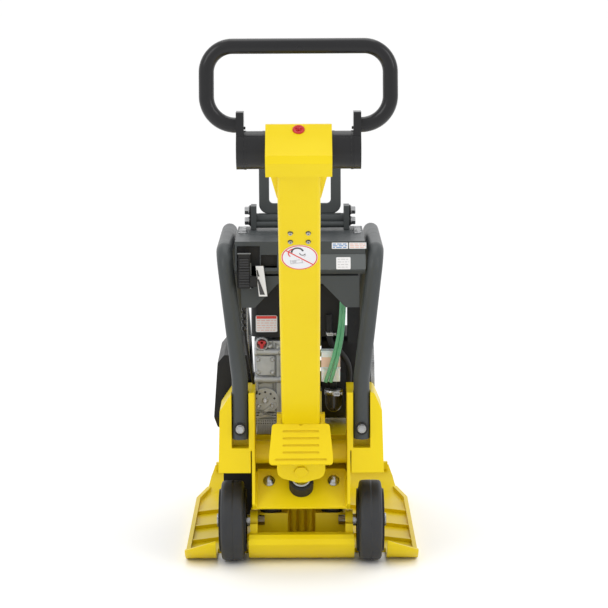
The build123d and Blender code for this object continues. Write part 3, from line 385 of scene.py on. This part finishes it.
def add_piece(name, bm, material, body, matrix, edge=0.0, smooth=True):
    """Object from a bmesh, with rounded edges where edge is their width."""
    bmesh.ops.recalc_face_normals(bm, faces=bm.faces)
    bmesh.ops.transform(bm, matrix=matrix, verts=bm.verts)
    mesh = bpy.data.meshes.new(name)
    bm.to_mesh(mesh)
    bm.free()
    mesh.materials.append(material)
    piece = bpy.data.objects.new(name, mesh)
    bpy.context.scene.collection.objects.link(piece)
    if edge:
        soften(piece, edge)
    elif smooth:
        for polygon in mesh.polygons:
            polygon.use_smooth = True
    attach(piece, body)
    return piece


def ring_of(bm, radius, z, count):
    angles = [2 * math.pi * i / count for i in range(count)]
    return [bm.verts.new((radius * math.cos(angle), radius * math.sin(angle), z)) for angle in angles]


def bridge(bm, low, high):
    count = len(low)
    for i in range(count):
        bm.faces.new((low[i], low[(i + 1) % count], high[(i + 1) % count], high[i]))


def turned(bm, profile, count):
    """Solid of revolution about z; profile is (radius, z) pairs from one end to the other."""
    rings = [ring_of(bm, radius, z, count) for radius, z in profile]
    for low, high in zip(rings, rings[1:]):
        bridge(bm, low, high)
    bm.faces.new(list(reversed(rings[0])))
    bm.faces.new(rings[-1])


def outline_solid(bm, points, depth):
    """Prism from an outline in x, y, standing depth tall on z = 0."""
    low = [bm.verts.new((x, y, 0)) for x, y in points]
    high = [bm.verts.new((x, y, depth)) for x, y in points]
    bridge(bm, low, high)
    bm.faces.new(list(reversed(low)))
    bm.faces.new(high)


def rounded(width, height, radius):
    """Outline of a rectangle about the origin with rounded corners."""
    steps = 5
    points = []
    for corner, (sx, sy) in enumerate(((1, 1), (-1, 1), (-1, -1), (1, -1))):
        for step in range(steps + 1):
            angle = math.pi / 2 * (corner + step / steps)
            points.append((
                sx * (width / 2 - radius) + radius * math.cos(angle),
                sy * (height / 2 - radius) + radius * math.sin(angle),
            ))
    return points


def arc_band(bm, inner, outer, start, end, depth, steps):
    """Flat curved band, or a whole ring when it turns all the way."""
    whole = abs(end - start) >= FULL_TURN - 1e-6
    count = steps if whole else steps + 1
    rows = []
    for step in range(count):
        angle = start + (end - start) * step / steps
        c, s = math.cos(angle), math.sin(angle)
        rows.append([
            bm.verts.new((inner * c, inner * s, 0)), bm.verts.new((outer * c, outer * s, 0)),
            bm.verts.new((outer * c, outer * s, depth)), bm.verts.new((inner * c, inner * s, depth)),
        ])
    pairs = list(zip(rows, rows[1:] + rows[:1])) if whole else list(zip(rows, rows[1:]))
    for a, b in pairs:
        for i in range(4):
            bm.faces.new((a[i], a[(i + 1) % 4], b[(i + 1) % 4], b[i]))
    if not whole:
        bm.faces.new(rows[0])
        bm.faces.new(list(reversed(rows[-1])))


def flat_piece(name, points, origin, out, up, depth, material, body, edge=0.0):
    """Plate of the given outline, standing depth tall on a surface that faces out."""
    bm = bmesh.new()
    outline_solid(bm, points, depth)
    return add_piece(name, bm, material, body, place_matrix(origin, out, up), edge, smooth=False)


def rear_flat(name, size, origin, depth, material, edge=0.0):
    """Plate on the upper mass that faces the operator; size is (width, height, corner radius)."""
    return flat_piece(name, rounded(*size), origin, REAR, UP, depth, material, UPPER, edge)


def bar_piece(name, size, depth, turn, matrix, material, body, shift=(0, 0), edge=0.0, smooth=False):
    """Rounded bar turned about its middle and then shifted, both within its plane."""
    bm = bmesh.new()
    outline_solid(bm, rounded(*size), depth)
    bmesh.ops.rotate(bm, verts=bm.verts, matrix=Matrix.Rotation(turn, 3, "Z"))
    bmesh.ops.translate(bm, verts=bm.verts, vec=(*shift, 0))
    return add_piece(name, bm, material, body, matrix, edge, smooth)


def band_piece(name, radii, sweep, depth, steps, matrix, material, body, shift=(0, 0), smooth=False):
    """Flat ring or arc between two radii, shifted within its plane."""
    bm = bmesh.new()
    arc_band(bm, *radii, *sweep, depth, steps)
    bmesh.ops.translate(bm, verts=bm.verts, vec=(*shift, 0))
    return add_piece(name, bm, material, body, matrix, smooth=smooth)


def turned_piece(name, profile, origin, out, material, body, count=40, edge=0.0):
    bm = bmesh.new()
    turned(bm, profile, count)
    up = UP if abs(Vector(out).normalized().z) < 0.9 else RIGHT
    return add_piece(name, bm, material, body, place_matrix(origin, out, up), edge)


def wire(name, points, radius, material, body):
    """Smooth round wire or hose as a bevelled curve, through a NURBS spline's control points."""
    curve = bpy.data.curves.new(name, "CURVE")
    curve.dimensions = "3D"
    spline = curve.splines.new("NURBS")
    spline.points.add(len(points) - 1)
    for point, place in zip(spline.points, points):
        point.co = (*place, 1)
    spline.order_u = 3
    spline.use_endpoint_u = True
    spline.resolution_u = 10
    curve.bevel_depth = radius
    curve.bevel_resolution = 5
    curve.use_fill_caps = True
    curve.materials.append(material)
    piece = bpy.data.objects.new(name, curve)
    bpy.context.scene.collection.objects.link(piece)
    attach(piece, body)
    return piece


def hex_bolt(name, origin, out, across, height, body, washer=0.0, material=ZINC):
    """Chamfered hexagon with a shallow dished top, on a washer face where washer is its radius."""
    r = across / 2 / math.cos(math.pi / 6)
    if washer:
        face = [(washer * 0.55, 0), (washer, 0), (washer, height * 0.14), (washer * 0.9, height * 0.24)]
        turned_piece(name + "_washer", face, origin, out, material, body)
    start = height * 0.2 if washer else 0
    head = [
        (r, start), (r, height * 0.86), (r * 0.9, height), (r * 0.72, height), (r * 0.66, height * 0.9),
    ]
    turned_piece(name, head, origin, out, material, body, 6, 0.0004)


def socket_screw(name, origin, out, radius, body):
    profile = [
        (radius, 0), (radius, radius * 0.5), (radius * 0.85, radius * 0.72),
        (radius * 0.5, radius * 0.75), (radius * 0.46, radius * 0.3),
    ]
    turned_piece(name, profile, origin, out, ZINC, body, 24)


# ------------------------------------------------------------------ the sign on the pole
SIGN_S = 0.653
SIGN_R = 0.035
SIGN_THICK = 0.0007
SIGN_SIDES = 72
MARK = 0.0003


def pole_sign():
    """Plain round sign: white disc, red ring and bar over a simple machine outline."""
    centre = on_pole(0, SIGN_S, POLE_DEPTH + 0.0002)
    bm = bmesh.new()
    turned(bm, [(SIGN_R, 0), (SIGN_R, 0.0004), (SIGN_R - 0.0006, SIGN_THICK)], SIGN_SIDES)
    add_piece("sign_disc", bm, WHITE, POLE, place_matrix(centre, BEHIND, ALONG), smooth=False)
    above = place_matrix(centre + BEHIND * SIGN_THICK, BEHIND, ALONG)
    band_piece("sign_ring", (SIGN_R - 0.0028, SIGN_R - 0.0008), (0, FULL_TURN), MARK, SIGN_SIDES, above,
               LABEL_RED, POLE)
    bar_piece("sign_bar", (0.0024, 2 * SIGN_R - 0.004, 0.0008), 0.0004, math.radians(52), above,
              LABEL_RED, POLE)
    arcs = (
        ("sign_hook", DARK_PRINT_AND_SHADE, (0.009, 0.0125), (0.2, 3.3), (-0.004, 0.016)),
        ("sign_arm", LABEL_RED, (0.012, 0.0142), (1.9, 3.9), (-0.008, 0.012)),
        ("sign_eye", DARK_PRINT_AND_SHADE, (0.0045, 0.0062), (3.0, 6.0), (0.006, 0.012)),
    )
    for name, material, radii, sweep, shift in arcs:
        band_piece(name, radii, sweep, MARK, 24, above, material, POLE, shift)
    line = 0.0016
    strokes = (
        (0.018, line, 0.2, (-0.008, -0.008)), (0.024, line, 0.15, (-0.006, -0.016)),
        (line, 0.010, 0.15, (-0.017, -0.012)), (line, 0.012, 0.15, (0.005, -0.010)),
        (0.008, 0.006, 0.15, (-0.010, -0.012)), (0.006, line, 0.9, (0.010, 0.004)),
    )
    for index, (wide, tall, turn, shift) in enumerate(strokes):
        bar_piece(f"sign_mark_{index}", (wide, tall, min(wide, tall) * 0.3), MARK, turn, above,
                  LABEL_GREY, POLE, shift)


pole_sign()

# ------------------------------------------------------------------ screws and plug of the pole
SCREW_X = 0.017
SCREW_ROWS = (0.697, 0.721)
PLUG_AT = on_pole(0, 0.930, -0.034)


def pole_screws():
    """Four small socket screws on washers, in two rows, with a dark hexagon of painted shade in each socket.
    """
    for row, s in enumerate(SCREW_ROWS):
        for side in (-1, 1):
            name = f"pole_screw_{row}_{side + 1}"
            x = side * SCREW_X
            washer = turned_piece(
                name + "_washer", [(0.0050, 0), (0.0050, 0.0008), (0.0045, 0.0011)],
                on_pole(x, s, POLE_DEPTH), BEHIND, DARK_STEEL, POLE, 28,
            )
            socket_screw(name, on_pole(x, s, POLE_DEPTH + 0.001), BEHIND, 0.0040, POLE)
            # Dark hexagon at the socket's bottom: painted shade of the recess.
            turned_piece(
                name + "_socket", [(0.0019, 0), (0.0019, 0.0003)],
                on_pole(x, s, POLE_DEPTH + 0.0022), BEHIND, DARK_PRINT_AND_SHADE, POLE, 6,
            )
    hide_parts("pole_screws")


def head_plug():
    """Round red plug with a crossed grip, on top of the pole's head."""
    profile = [
        (0.0112, 0), (0.0112, 0.0014), (0.0102, 0.0024), (0.0074, 0.0028), (0.0066, 0.0012), (0.002, 0.0010),
    ]
    plug = turned_piece("head_plug_cap", profile, PLUG_AT, ALONG, RED, POLE, 48)
    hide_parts("head_plug")
    for degrees in (45, 135):
        bar_piece(f"plug_cross_{degrees}", (0.011, 0.0018, 0.0006), 0.0014, math.radians(degrees),
                  place_matrix(PLUG_AT + ALONG * 0.001, ALONG, BEHIND), RED, POLE, smooth=True)


pole_screws()
head_plug()


# ------------------------------------------------------------------ labels, all plain and generic
def label(name, centre, out, up, width, height, material):
    outline = rounded(width, height, min(width, height) * 0.08)
    origin = Vector(centre) + Vector(out) * 0.0002
    return flat_piece(name, outline, origin, out, up, MARK, material, UPPER)


def dashes(name, centre, out, up, rows, width, pitch, tall, material, seed):
    """Short bars in rows, in place of printed lines."""
    rnd = random.Random(seed)
    right = Vector(up).cross(Vector(out)).normalized()
    for row in range(rows):
        rise = pitch * ((rows - 1) / 2 - row)
        start = -width / 2
        while start < width / 2 - tall:
            length = min(rnd.uniform(2.0, 6.0) * tall, width / 2 - start)
            spot = Vector(centre) + right * (start + length / 2) + Vector(up) * rise
            flat_piece(
                f"{name}_{row}_{int((start + width) * 1e5)}", rounded(length, tall, tall * 0.3),
                spot + Vector(out) * 0.0005, out, up, 0.0002, material, UPPER,
            )
            start += length + 1.2 * tall


def lip_labels():
    """Two small labels side by side on the hood's lip, facing the operator."""
    blue_at = (0.0835, -0.3402, 0.6905)
    red_at = (0.1205, -0.3402, 0.6905)
    label("lip_label_blue", blue_at, REAR, UP, 0.034, 0.013, WHITE)
    label("lip_label_red", red_at, REAR, UP, 0.036, 0.013, WHITE)
    dashes("lip_blue", blue_at, REAR, UP, 3, 0.030, 0.0036, 0.0022, LABEL_BLUE, 3)
    dashes("lip_red", red_at, REAR, UP, 3, 0.032, 0.0036, 0.0016, LABEL_PINK, 5)


def slope_labels():
    """Panel of painted light, lighter grey where the hood's sloping face turns up to the light, and square
    label on that face, which rises 34 for each 14 forward.
    """
    out = Vector((0, -0.034, 0.014)).normalized()
    up = Vector((0, 0.014, 0.034)).normalized()
    middle = Vector((0, -0.347, 0.657)) + out * 0.0006
    # The panel is painted light: the sloping face lit from above, not a pale part.
    flat_piece("lit_slope_panel", rounded(0.098, 0.033, 0.002), middle + RIGHT * 0.088, out, up, 0.0008,
               LIT_SLOPE_GREY, UPPER, 0.0003)
    square_at = middle - up * 0.003 + RIGHT * 0.0905 + out * 0.0008
    label("square_label", square_at, out, up, 0.030, 0.026, WHITE)
    dashes("square_marks", square_at, out, up, 4, 0.024, 0.0056, 0.0016, LABEL_GREY, 8)


def shroud_labels():
    """White label with a red head on the shroud."""
    x, y = -0.073, -0.2363
    label("shroud_label", (x, y, 0.5085), REAR, UP, 0.046, 0.036, WHITE)
    label("shroud_label_head", (x, y - 0.0004, 0.5225), REAR, UP, 0.043, 0.006, LABEL_RED)
    dashes("shroud_marks", (x, y, 0.505), REAR, UP, 5, 0.041, 0.0052, 0.0018, LABEL_PINK, 12)


def speed_wedge():
    """White-edged dark wedge beside the throttle, narrowing downwards."""
    centre = Vector((-0.080, -0.3572, 0.619))
    outer = [(-0.0125, 0.032), (0.0035, 0.032), (0.0115, -0.032), (-0.006, -0.032)]
    flat_piece("wedge_plate", outer, centre, REAR, UP, 0.0008, WHITE, UPPER)
    low_dark = [(-0.0088, 0.004), (-0.0058, 0.004), (0.0065, -0.0285), (-0.0040, -0.0285)]
    top_dark = [(-0.0108, 0.024), (-0.0085, 0.024), (-0.0045, 0.010), (-0.0092, 0.010)]
    for name, points in (("wedge_low", low_dark), ("wedge_top", top_dark)):
        flat_piece(name, points, centre + REAR * 0.0008, REAR, UP, MARK, DARK_PRINT_AND_SHADE, UPPER)


lip_labels()
slope_labels()
shroud_labels()
speed_wedge()


# ------------------------------------------------------------------ bolts, the same on both sides
def leg_bolt(tag, side):
    """Bolt in the foot of a leg, in a black ring that is painted shade for the counterbore round its head."""
    spot = Vector((side * 0.128, -0.365, 0.306))
    ring = [(0.0095, 0), (0.0135, 0), (0.0135, 0.0036), (0.0122, 0.0046), (0.0095, 0.0046)]
    # Black ring: painted shade of the counterbore the bolt's head sits in.
    turned_piece(f"leg_counterbore_shade_{tag}", ring, spot, REAR, BLACK, UPPER)
    hex_bolt(f"leg_bolt_{tag}", spot + REAR * 0.003, REAR, 0.0155, 0.0078, UPPER, 0.0098)


def eye_bolts(tag, side):
    """Two bolts, one over the other, through the lifting eye's ear plate."""
    out = RIGHT * side
    washer_high = 0.0036
    washer = [(0.006, 0), (0.0118, 0), (0.0118, 0.0030), (0.0105, washer_high), (0.006, washer_high)]
    for index, bolt_z in enumerate((0.739, 0.716)):
        origin = Vector((side * 0.107, -0.113, bolt_z))
        turned_piece(f"eye_washer_{tag}_{index}", washer, origin, out, BLACK, UPPER)
        hex_bolt(f"eye_bolt_{tag}_{index}", origin + out * washer_high, out, 0.016, 0.0105, UPPER, 0.0095)


def hood_bolts(tag, side):
    for index, bolt_y in enumerate((-0.196, -0.160)):
        origin = (side * 0.123, bolt_y, 0.700)
        hex_bolt(f"hood_bolt_{tag}_{index}", origin, UP, 0.014, 0.009, UPPER, 0.0095)


def dome_nut(tag, side):
    """Domed nut on the sloping rear plate."""
    profile = [
        (0.0125, 0), (0.0125, 0.0022), (0.0100, 0.0030), (0.0092, 0.0090),
        (0.0074, 0.0105), (0.0062, 0.0122), (0.0036, 0.0134),
    ]
    origin = INCLINE_FOOT + RIGHT * (side * 0.069) + INCLINE_UP * 0.064 + INCLINE_OUT * 0.004
    turned_piece(f"dome_nut_{tag}", profile, origin, INCLINE_OUT, ZINC, UPPER, 36)


def buffer_washer():
    """Ring round the pole's rubber stop."""
    profile = [
        (0.0112, 0), (0.0200, 0), (0.0204, 0.0014), (0.0196, 0.0036), (0.0128, 0.0040), (0.0112, 0.0030),
    ]
    origin = INCLINE_FOOT + INCLINE_UP * 0.0505 + INCLINE_OUT * 0.038
    ring = turned_piece("buffer_washer", profile, origin, INCLINE_OUT, ZINC, UPPER, 56)
    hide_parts("upper_fasteners")


for tag, side in SIDES:
    leg_bolt(tag, side)
    eye_bolts(tag, side)
    hood_bolts(tag, side)
    dome_nut(tag, side)
buffer_washer()

# ------------------------------------------------------------------ engine details seen from behind
CASE_REAR = -0.232
FILLER_X = -0.083
SPEED_X, SPEED_Z = -0.077, 0.339


def crankcase_details():
    """Bosses, cover plate, bolts and the oil filler's cup on the crankcase's rear face."""
    boss = [(0.0070, 0), (0.0092, 0.001), (0.0092, 0.006), (0.0080, 0.008), (0.0074, 0.050), (0.0080, 0.052)]
    for boss_z in (0.386, 0.447):
        turned_piece(f"boss_{int(boss_z * 1000)}", boss, (-0.100, CASE_REAR - 0.003, boss_z), RIGHT,
                     ALLOY, UPPER, 36)
    rear_flat("side_cover", (0.040, 0.042, 0.004), (-0.076, CASE_REAR - 0.003, 0.417), 0.003,
              ALLOY, 0.0008)
    rear_flat("case_rib", (0.0035, 0.150, 0.001), (-0.0535, CASE_REAR - 0.001, 0.390), 0.006,
              ALLOY_DARK, 0.0006)
    rear_flat("case_seam", (0.0016, 0.160, 0.0006), (-0.0600, CASE_REAR - 0.001, 0.392), 0.003,
              ALLOY_DARK)
    left, right, upper, lower = -0.092, -0.061, 0.431, 0.403
    bolts = ((left, upper), (right, upper), (left, lower), (right, lower), (-0.066, 0.460))
    for index, (x, z) in enumerate(bolts):
        hex_bolt(f"case_bolt_{index}", (x, CASE_REAR - 0.006, z), REAR, 0.0075, 0.0042, UPPER, 0.0052)
    cup = [(0.0118, 0), (0.0142, 0.002), (0.0144, 0.010), (0.0130, 0.0125), (0.0108, 0.0125), (0.0102, 0.004)]
    turned_piece("filler_cup", cup, (FILLER_X, CASE_REAR - 0.002, 0.466), REAR,
                 ALLOY, UPPER, 44)


def oil_filler_cap():
    """Red cap with a T-shaped grip."""
    profile = [(0.0066, 0), (0.0066, 0.009), (0.0058, 0.012), (0.0030, 0.0125)]
    cap = turned_piece("filler_cap", profile, (FILLER_X, -0.238, 0.467), REAR, RED, UPPER, 40,
                       0.0006)
    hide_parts("oil_cap")
    for index, (wide, tall, z) in enumerate(((0.0170, 0.0062, 0.4705), (0.0066, 0.0170, 0.4660))):
        rear_flat(f"filler_grip_{index}", (wide, tall, 0.002), (FILLER_X, -0.2498, z), 0.0062,
                  RED, 0.0010)


def speed_plate():
    """Half-round governor plate with its row of holes, drawn as dark discs of painted shade, its bracket and
    its bolts.
    """
    outline = []
    for step in range(29):
        angle = math.radians(205 - 230 * step / 28)
        outline.append((0.030 * math.cos(angle), 0.030 * math.sin(angle)))
    outline += [(0.018, -0.020), (0.004, -0.022), (-0.012, -0.020)]
    plate = flat_piece("speed_plate", list(reversed(outline)), (SPEED_X, -0.239, SPEED_Z), REAR, UP, 0.003,
                       ALLOY, UPPER, 0.0004)
    rear_flat("speed_bracket", (0.012, 0.034, 0.003), (-0.0985, -0.2395, 0.372), 0.0025,
              ALLOY, 0.0004)
    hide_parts("governor_linkage")
    for index, degrees in enumerate((20, 55, 90, 125, 160)):
        angle = math.radians(degrees)
        spot = (SPEED_X + 0.021 * math.cos(angle), -0.2421, SPEED_Z + 0.021 * math.sin(angle))
        # Each hole is a dark disc of painted shade, not an opening.
        turned_piece(f"plate_hole_{index}", [(0.0030, 0), (0.0030, 0.0003)], spot, REAR,
                     DARK_PRINT_AND_SHADE, UPPER, 4)
    bolts = ((SPEED_X, 0.342, 0.0105), (-0.062, 0.330, 0.008), (-0.091, 0.330, 0.007))
    for index, (x, z, size) in enumerate(bolts):
        hex_bolt(f"speed_bolt_{index}", (x, -0.242, z), REAR, size, 0.0045, UPPER, size * 0.65)


def governor_levers():
    """Two arms and a small coil spring under the governor plate."""
    arms = ((-0.072, 0.322, 0.046, 0.0075, 34), (-0.080, 0.308, 0.034, 0.006, 12))
    for index, (x, z, reach, wide, degrees) in enumerate(arms):
        bar_piece(f"governor_arm_{index}", (reach, wide, wide * 0.48), 0.0024, math.radians(degrees),
                  place_matrix((x, -0.2425, z), REAR, UP), ALLOY, UPPER, edge=0.0004)
    coil = []
    turns, steps, radius = 10, 12, 0.0024
    for step in range(turns * steps + 1):
        angle = 2 * math.pi * step / steps
        coil.append((
            -0.094 + 0.00030 * step + radius * math.sin(angle) * 0.5, -0.248 + radius * math.cos(angle),
            0.320 - 0.00008 * step + radius * math.sin(angle),
        ))
    wire("governor_spring", coil, 0.0006, ZINC, UPPER)


def throttle_linkage():
    """Bright rod and black cable from the throttle down to the governor plate."""
    rod = [
        (-0.112, -0.326, 0.603), (-0.112, -0.326, 0.560), (-0.112, -0.322, 0.500), (-0.108, -0.285, 0.430),
        (-0.101, -0.252, 0.385), (-0.096, -0.246, 0.362),
    ]
    wire("speed_link", rod, 0.0014, ZINC, UPPER)
    cable = [
        (-0.1185, -0.330, 0.603), (-0.1185, -0.330, 0.545), (-0.115, -0.320, 0.480),
        (-0.106, -0.290, 0.420), (-0.100, -0.256, 0.374),
    ]
    wire("speed_cable", cable, 0.0028, RUBBER, UPPER)
    sleeve = [(0.0042, 0), (0.0050, 0.002), (0.0050, 0.008), (0.0042, 0.010)]
    for index in range(4):
        origin = (-0.1185, -0.330, 0.562 - 0.014 * index)
        turned_piece(f"cable_sleeve_{index}", sleeve, origin, (0, 0.03, -1),
                     GLOSSY, UPPER, 20)


def case_fins():
    """Row of upright fins low on the crankcase."""
    for fin in range(9):
        origin = (-0.098 + 0.0048 * fin, CASE_REAR - 0.001, 0.284)
        rear_flat(f"low_fin_{fin}", (0.0024, 0.030, 0.0008), origin, 0.010, ALLOY)


crankcase_details()
oil_filler_cap()
speed_plate()
governor_levers()
throttle_linkage()
case_fins()


# ------------------------------------------------------------------ hoses, clamps and boxes right of the pole
def fuel_hoses():
    """Two green hoses side by side, from the tank down past the separator box."""
    for index, shift in enumerate((0.0, 0.0105)):
        route = [
            (0.085 + shift, -0.212, 0.626), (0.087 + shift / 2, -0.262, 0.630),
            (0.088 + shift / 2, -0.300, 0.618), (0.088 + shift / 2, -0.300, 0.590),
            (0.087 + shift / 2, -0.301, 0.545), (0.081 + shift * 0.7, -0.303, 0.490),
            (0.067 + shift * 0.85, -0.305, 0.435), (0.053 + shift, -0.2925, 0.392),
        ]
        hose = wire(f"fuel_hose_{index}", route, 0.0042, HOSE, UPPER)
        if index == 0:
            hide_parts("fuel_hoses")


def breather_hose():
    route = [
        (0.061, -0.252, 0.530), (0.061, -0.253, 0.500), (0.063, -0.253, 0.468), (0.084, -0.243, 0.450),
        (0.103, -0.227, 0.420), (0.106, -0.222, 0.385), (0.099, -0.222, 0.352),
    ]
    breather = wire("breather", route, 0.0065, RUBBER, UPPER)
    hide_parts("air_hoses")


def rubber_cup():
    """Cup that hangs mouth up, with a rounded bottom, and the neck in its mouth."""
    mouth = Vector((0.070, -0.262, 0.372))
    profile = [(0.0180, 0), (0.0184, 0.0015), (0.0180, 0.004), (0.0180, 0.024)]
    for step in range(1, 9):
        angle = math.pi / 2 * step / 9
        profile.append((0.0020 + 0.0160 * math.cos(angle), 0.0300 + 0.0210 * math.sin(angle)))
    profile.append((0.0020, 0.0515))
    turned_piece("rubber_cup", profile, mouth, (0, 0, -1), GLOSSY, UPPER, 48)
    turned_piece("cup_neck", [(0.0072, 0), (0.0072, 0.019)], mouth, UP, RUBBER, UPPER, 28)


def hose_clamp(name, centre, radius, tall):
    """Worm-drive clamp: band, box, screw and a row of slots on the box, drawn as dark bars of painted shade.
    """
    band = band_piece(name, (radius, radius + 0.0012), (0, FULL_TURN), tall, 48, Matrix.Translation(centre),
                      ZINC, UPPER, smooth=True)
    body = Vector(centre) + Vector((radius * 0.35, -radius - 0.003, tall / 2))
    rear_flat(name + "_box", (0.014, tall * 0.9, 0.0015), body, 0.005, ZINC, 0.0006)
    turned_piece(name + "_screw", [(0.0030, 0), (0.0036, 0.001), (0.0036, 0.004), (0.0026, 0.005)],
                 body + Vector((0.008, -0.0015, 0)), RIGHT, ZINC, UPPER, 24)
    # The slots are dark bars of painted shade, not openings in the box.
    for notch in range(5):
        spot = body + Vector((-0.004 + 0.002 * notch, -0.005, 0))
        rear_flat(f"{name}_slot_{notch}", (0.0010, tall * 0.5, 0.0004), spot, 0.0002,
                  DARK_PRINT_AND_SHADE)
    return band


def separator_trim():
    """Coloured band, lid and rim of the clear separator box."""
    low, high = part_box("separator_box")
    middle = (low + high) / 2
    rear_flat("box_band", (0.0405, 0.022, 0.002), (middle.x, low.y - 0.0002, 0.4330), 0.0006,
              PEACH, 0.0002)
    flat_piece("box_lid", rounded(0.042, 0.032, 0.003), (middle.x, middle.y, high.z), UP, REAR, 0.003,
               CLEAR, UPPER, 0.0006)
    rear_flat("box_rim", (0.0424, 0.0035, 0.001), (middle.x, low.y - 0.0004, 0.4210), 0.0012,
              CLEAR, 0.0003)


fuel_hoses()
breather_hose()
rubber_cup()
cup_band = hose_clamp("cup_clamp", (0.070, -0.262, 0.359), 0.0186, 0.011)
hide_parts("hose_clamps")
hose_clamp("breather_clamp", (0.061, -0.2525, 0.486), 0.0068, 0.008)
separator_trim()

# ------------------------------------------------------------------ throttle unit
WELL_Y = -0.3305


def throttle_unit():
    """Bellows of eleven folds, the bracket over them and the slide beside them."""
    low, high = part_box("throttle_housing")
    middle_x = (low.x + high.x) / 2
    for fold in range(11):
        wide = 0.0225 - 0.00035 * fold
        rear_flat(f"bellows_{fold}", (wide, 0.0035, 0.0014),
                  (middle_x, low.y + 0.0006, low.z + 0.006 + fold * 0.0055), 0.0016,
                  GLOSSY, 0.0004)
    rear_flat("throttle_bracket", (0.028, 0.0022, 0.0008), (middle_x, low.y + 0.002, high.z + 0.0012), 0.003,
              ALLOY_DARK, 0.0004)
    rear_flat("throttle_slide", (0.0020, 0.046, 0.0008), (high.x + 0.0012, -0.3565, 0.634), 0.003,
              ALLOY_DARK, 0.0003)


def panel_backing():
    """Thin plates that close the hood's lip and the well behind the throttle."""
    rear_flat("lip_backing", (0.244, 0.030, 0.002), (0, WELL_Y, 0.633), 0.002, GREY, 0.0004)
    rear_flat("throttle_well", (0.087, 0.088, 0.002), (-0.0885, WELL_Y, 0.645), 0.002,
              PLASTIC, 0.0004)


throttle_unit()
panel_backing()

# ------------------------------------------------------------------ foot
hex_bolt(
    "foot_boss", (0, -0.3965, 0.2215), (0, -0.875, -0.484), 0.026, 0.0035, POLE, 0.0, YELLOW,
)

# ------------------------------------------------------------------ tyres
WHEEL_X, AXLE_Y, AXLE_Z = 0.1475, -0.290, 0.089
TYRE_R = 0.0853
CROWN = 0.0004
TREAD_HALF = 0.016
SIDEWALL = 0.0243


def tyre_profile():
    """(radius, across) round a tyre: sidewall, shoulder, crowned tread with a fine seam, and back."""
    shoulder = [(0.0625, 0.0244), (0.0700, 0.0244), (0.0790, 0.0238), (0.0828, 0.0222), (0.0848, 0.0190)]
    profile = [(radius, -across) for radius, across in shoulder]
    for step in range(9):
        across = -TREAD_HALF + 0.004 * step
        profile.append((TYRE_R + CROWN * (1 - (across / TREAD_HALF) ** 2), across))
        if step == 4:
            profile[-1] = (0.0860, -0.0006)
            profile += [(0.0856, 0.0008), (0.0850, 0.0011)]
    return profile + shoulder[::-1]


def tyre(tag, side):
    """Tyre that takes the place of the CAD one, with a moulded ring on each sidewall."""
    body = f"wheel_{tag}"
    centre = Vector((side * WHEEL_X, AXLE_Y, AXLE_Z))
    bm = bmesh.new()
    rings = [ring_of(bm, radius, z, 96) for radius, z in tyre_profile()]
    for a, b in zip(rings, rings[1:]):
        bridge(bm, a, b)
    bridge(bm, rings[-1], rings[0])
    skin = add_piece(f"tyre_skin_{tag}", bm, TYRE, body, place_matrix(centre, RIGHT, UP))
    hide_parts(f"tyre_{tag}")
    for face in (-1, 1):
        beside = place_matrix(centre + RIGHT * face * SIDEWALL, RIGHT * face, UP)
        band_piece(f"sidewall_ring_{tag}_{face + 1}", (0.0700, 0.0712), (0, FULL_TURN), 0.0008, 72, beside,
                   TYRE, body)


for tag, side in SIDES:
    tyre(tag, side)


# ------------------------------------------------------------------ weld beads
def bead(name, start, end, radius, body, material):
    """Weld bead of overlapping ripples between two points, tapering at both ends."""
    start, end = Vector(start), Vector(end)
    length = (end - start).length
    steps = 3 * max(4, int(length / 0.003))
    bm = bmesh.new()
    rings = []
    for i in range(steps + 1):
        t = i / steps
        swell = radius * (1 + 0.10 * abs(math.sin(math.pi * i / 3)))
        rings.append(ring_of(bm, max(swell * min(1, 12 * t, 12 * (1 - t)), radius * 0.2), t * length, 10))
    for a, b in zip(rings, rings[1:]):
        bridge(bm, a, b)
    bm.faces.new(list(reversed(rings[0])))
    bm.faces.new(rings[-1])
    out = (end - start).normalized()
    up = UP if abs(out.z) < 0.9 else RIGHT
    return add_piece(name, bm, material, body, place_matrix(start, out, up))


for side in (-1, 1):
    bead(f"cheek_weld_{side + 1}", (side * 0.094, -0.316, 0.0165), (side * 0.094, -0.244, 0.0115), 0.004,
         "lower_mass", YELLOW)
    bead(f"flange_weld_{side + 1}", (side * 0.0995, -0.8480, 0.9795), (side * 0.0995, -0.8480, 0.9740), 0.002,
         "steering_handle", BLACK)
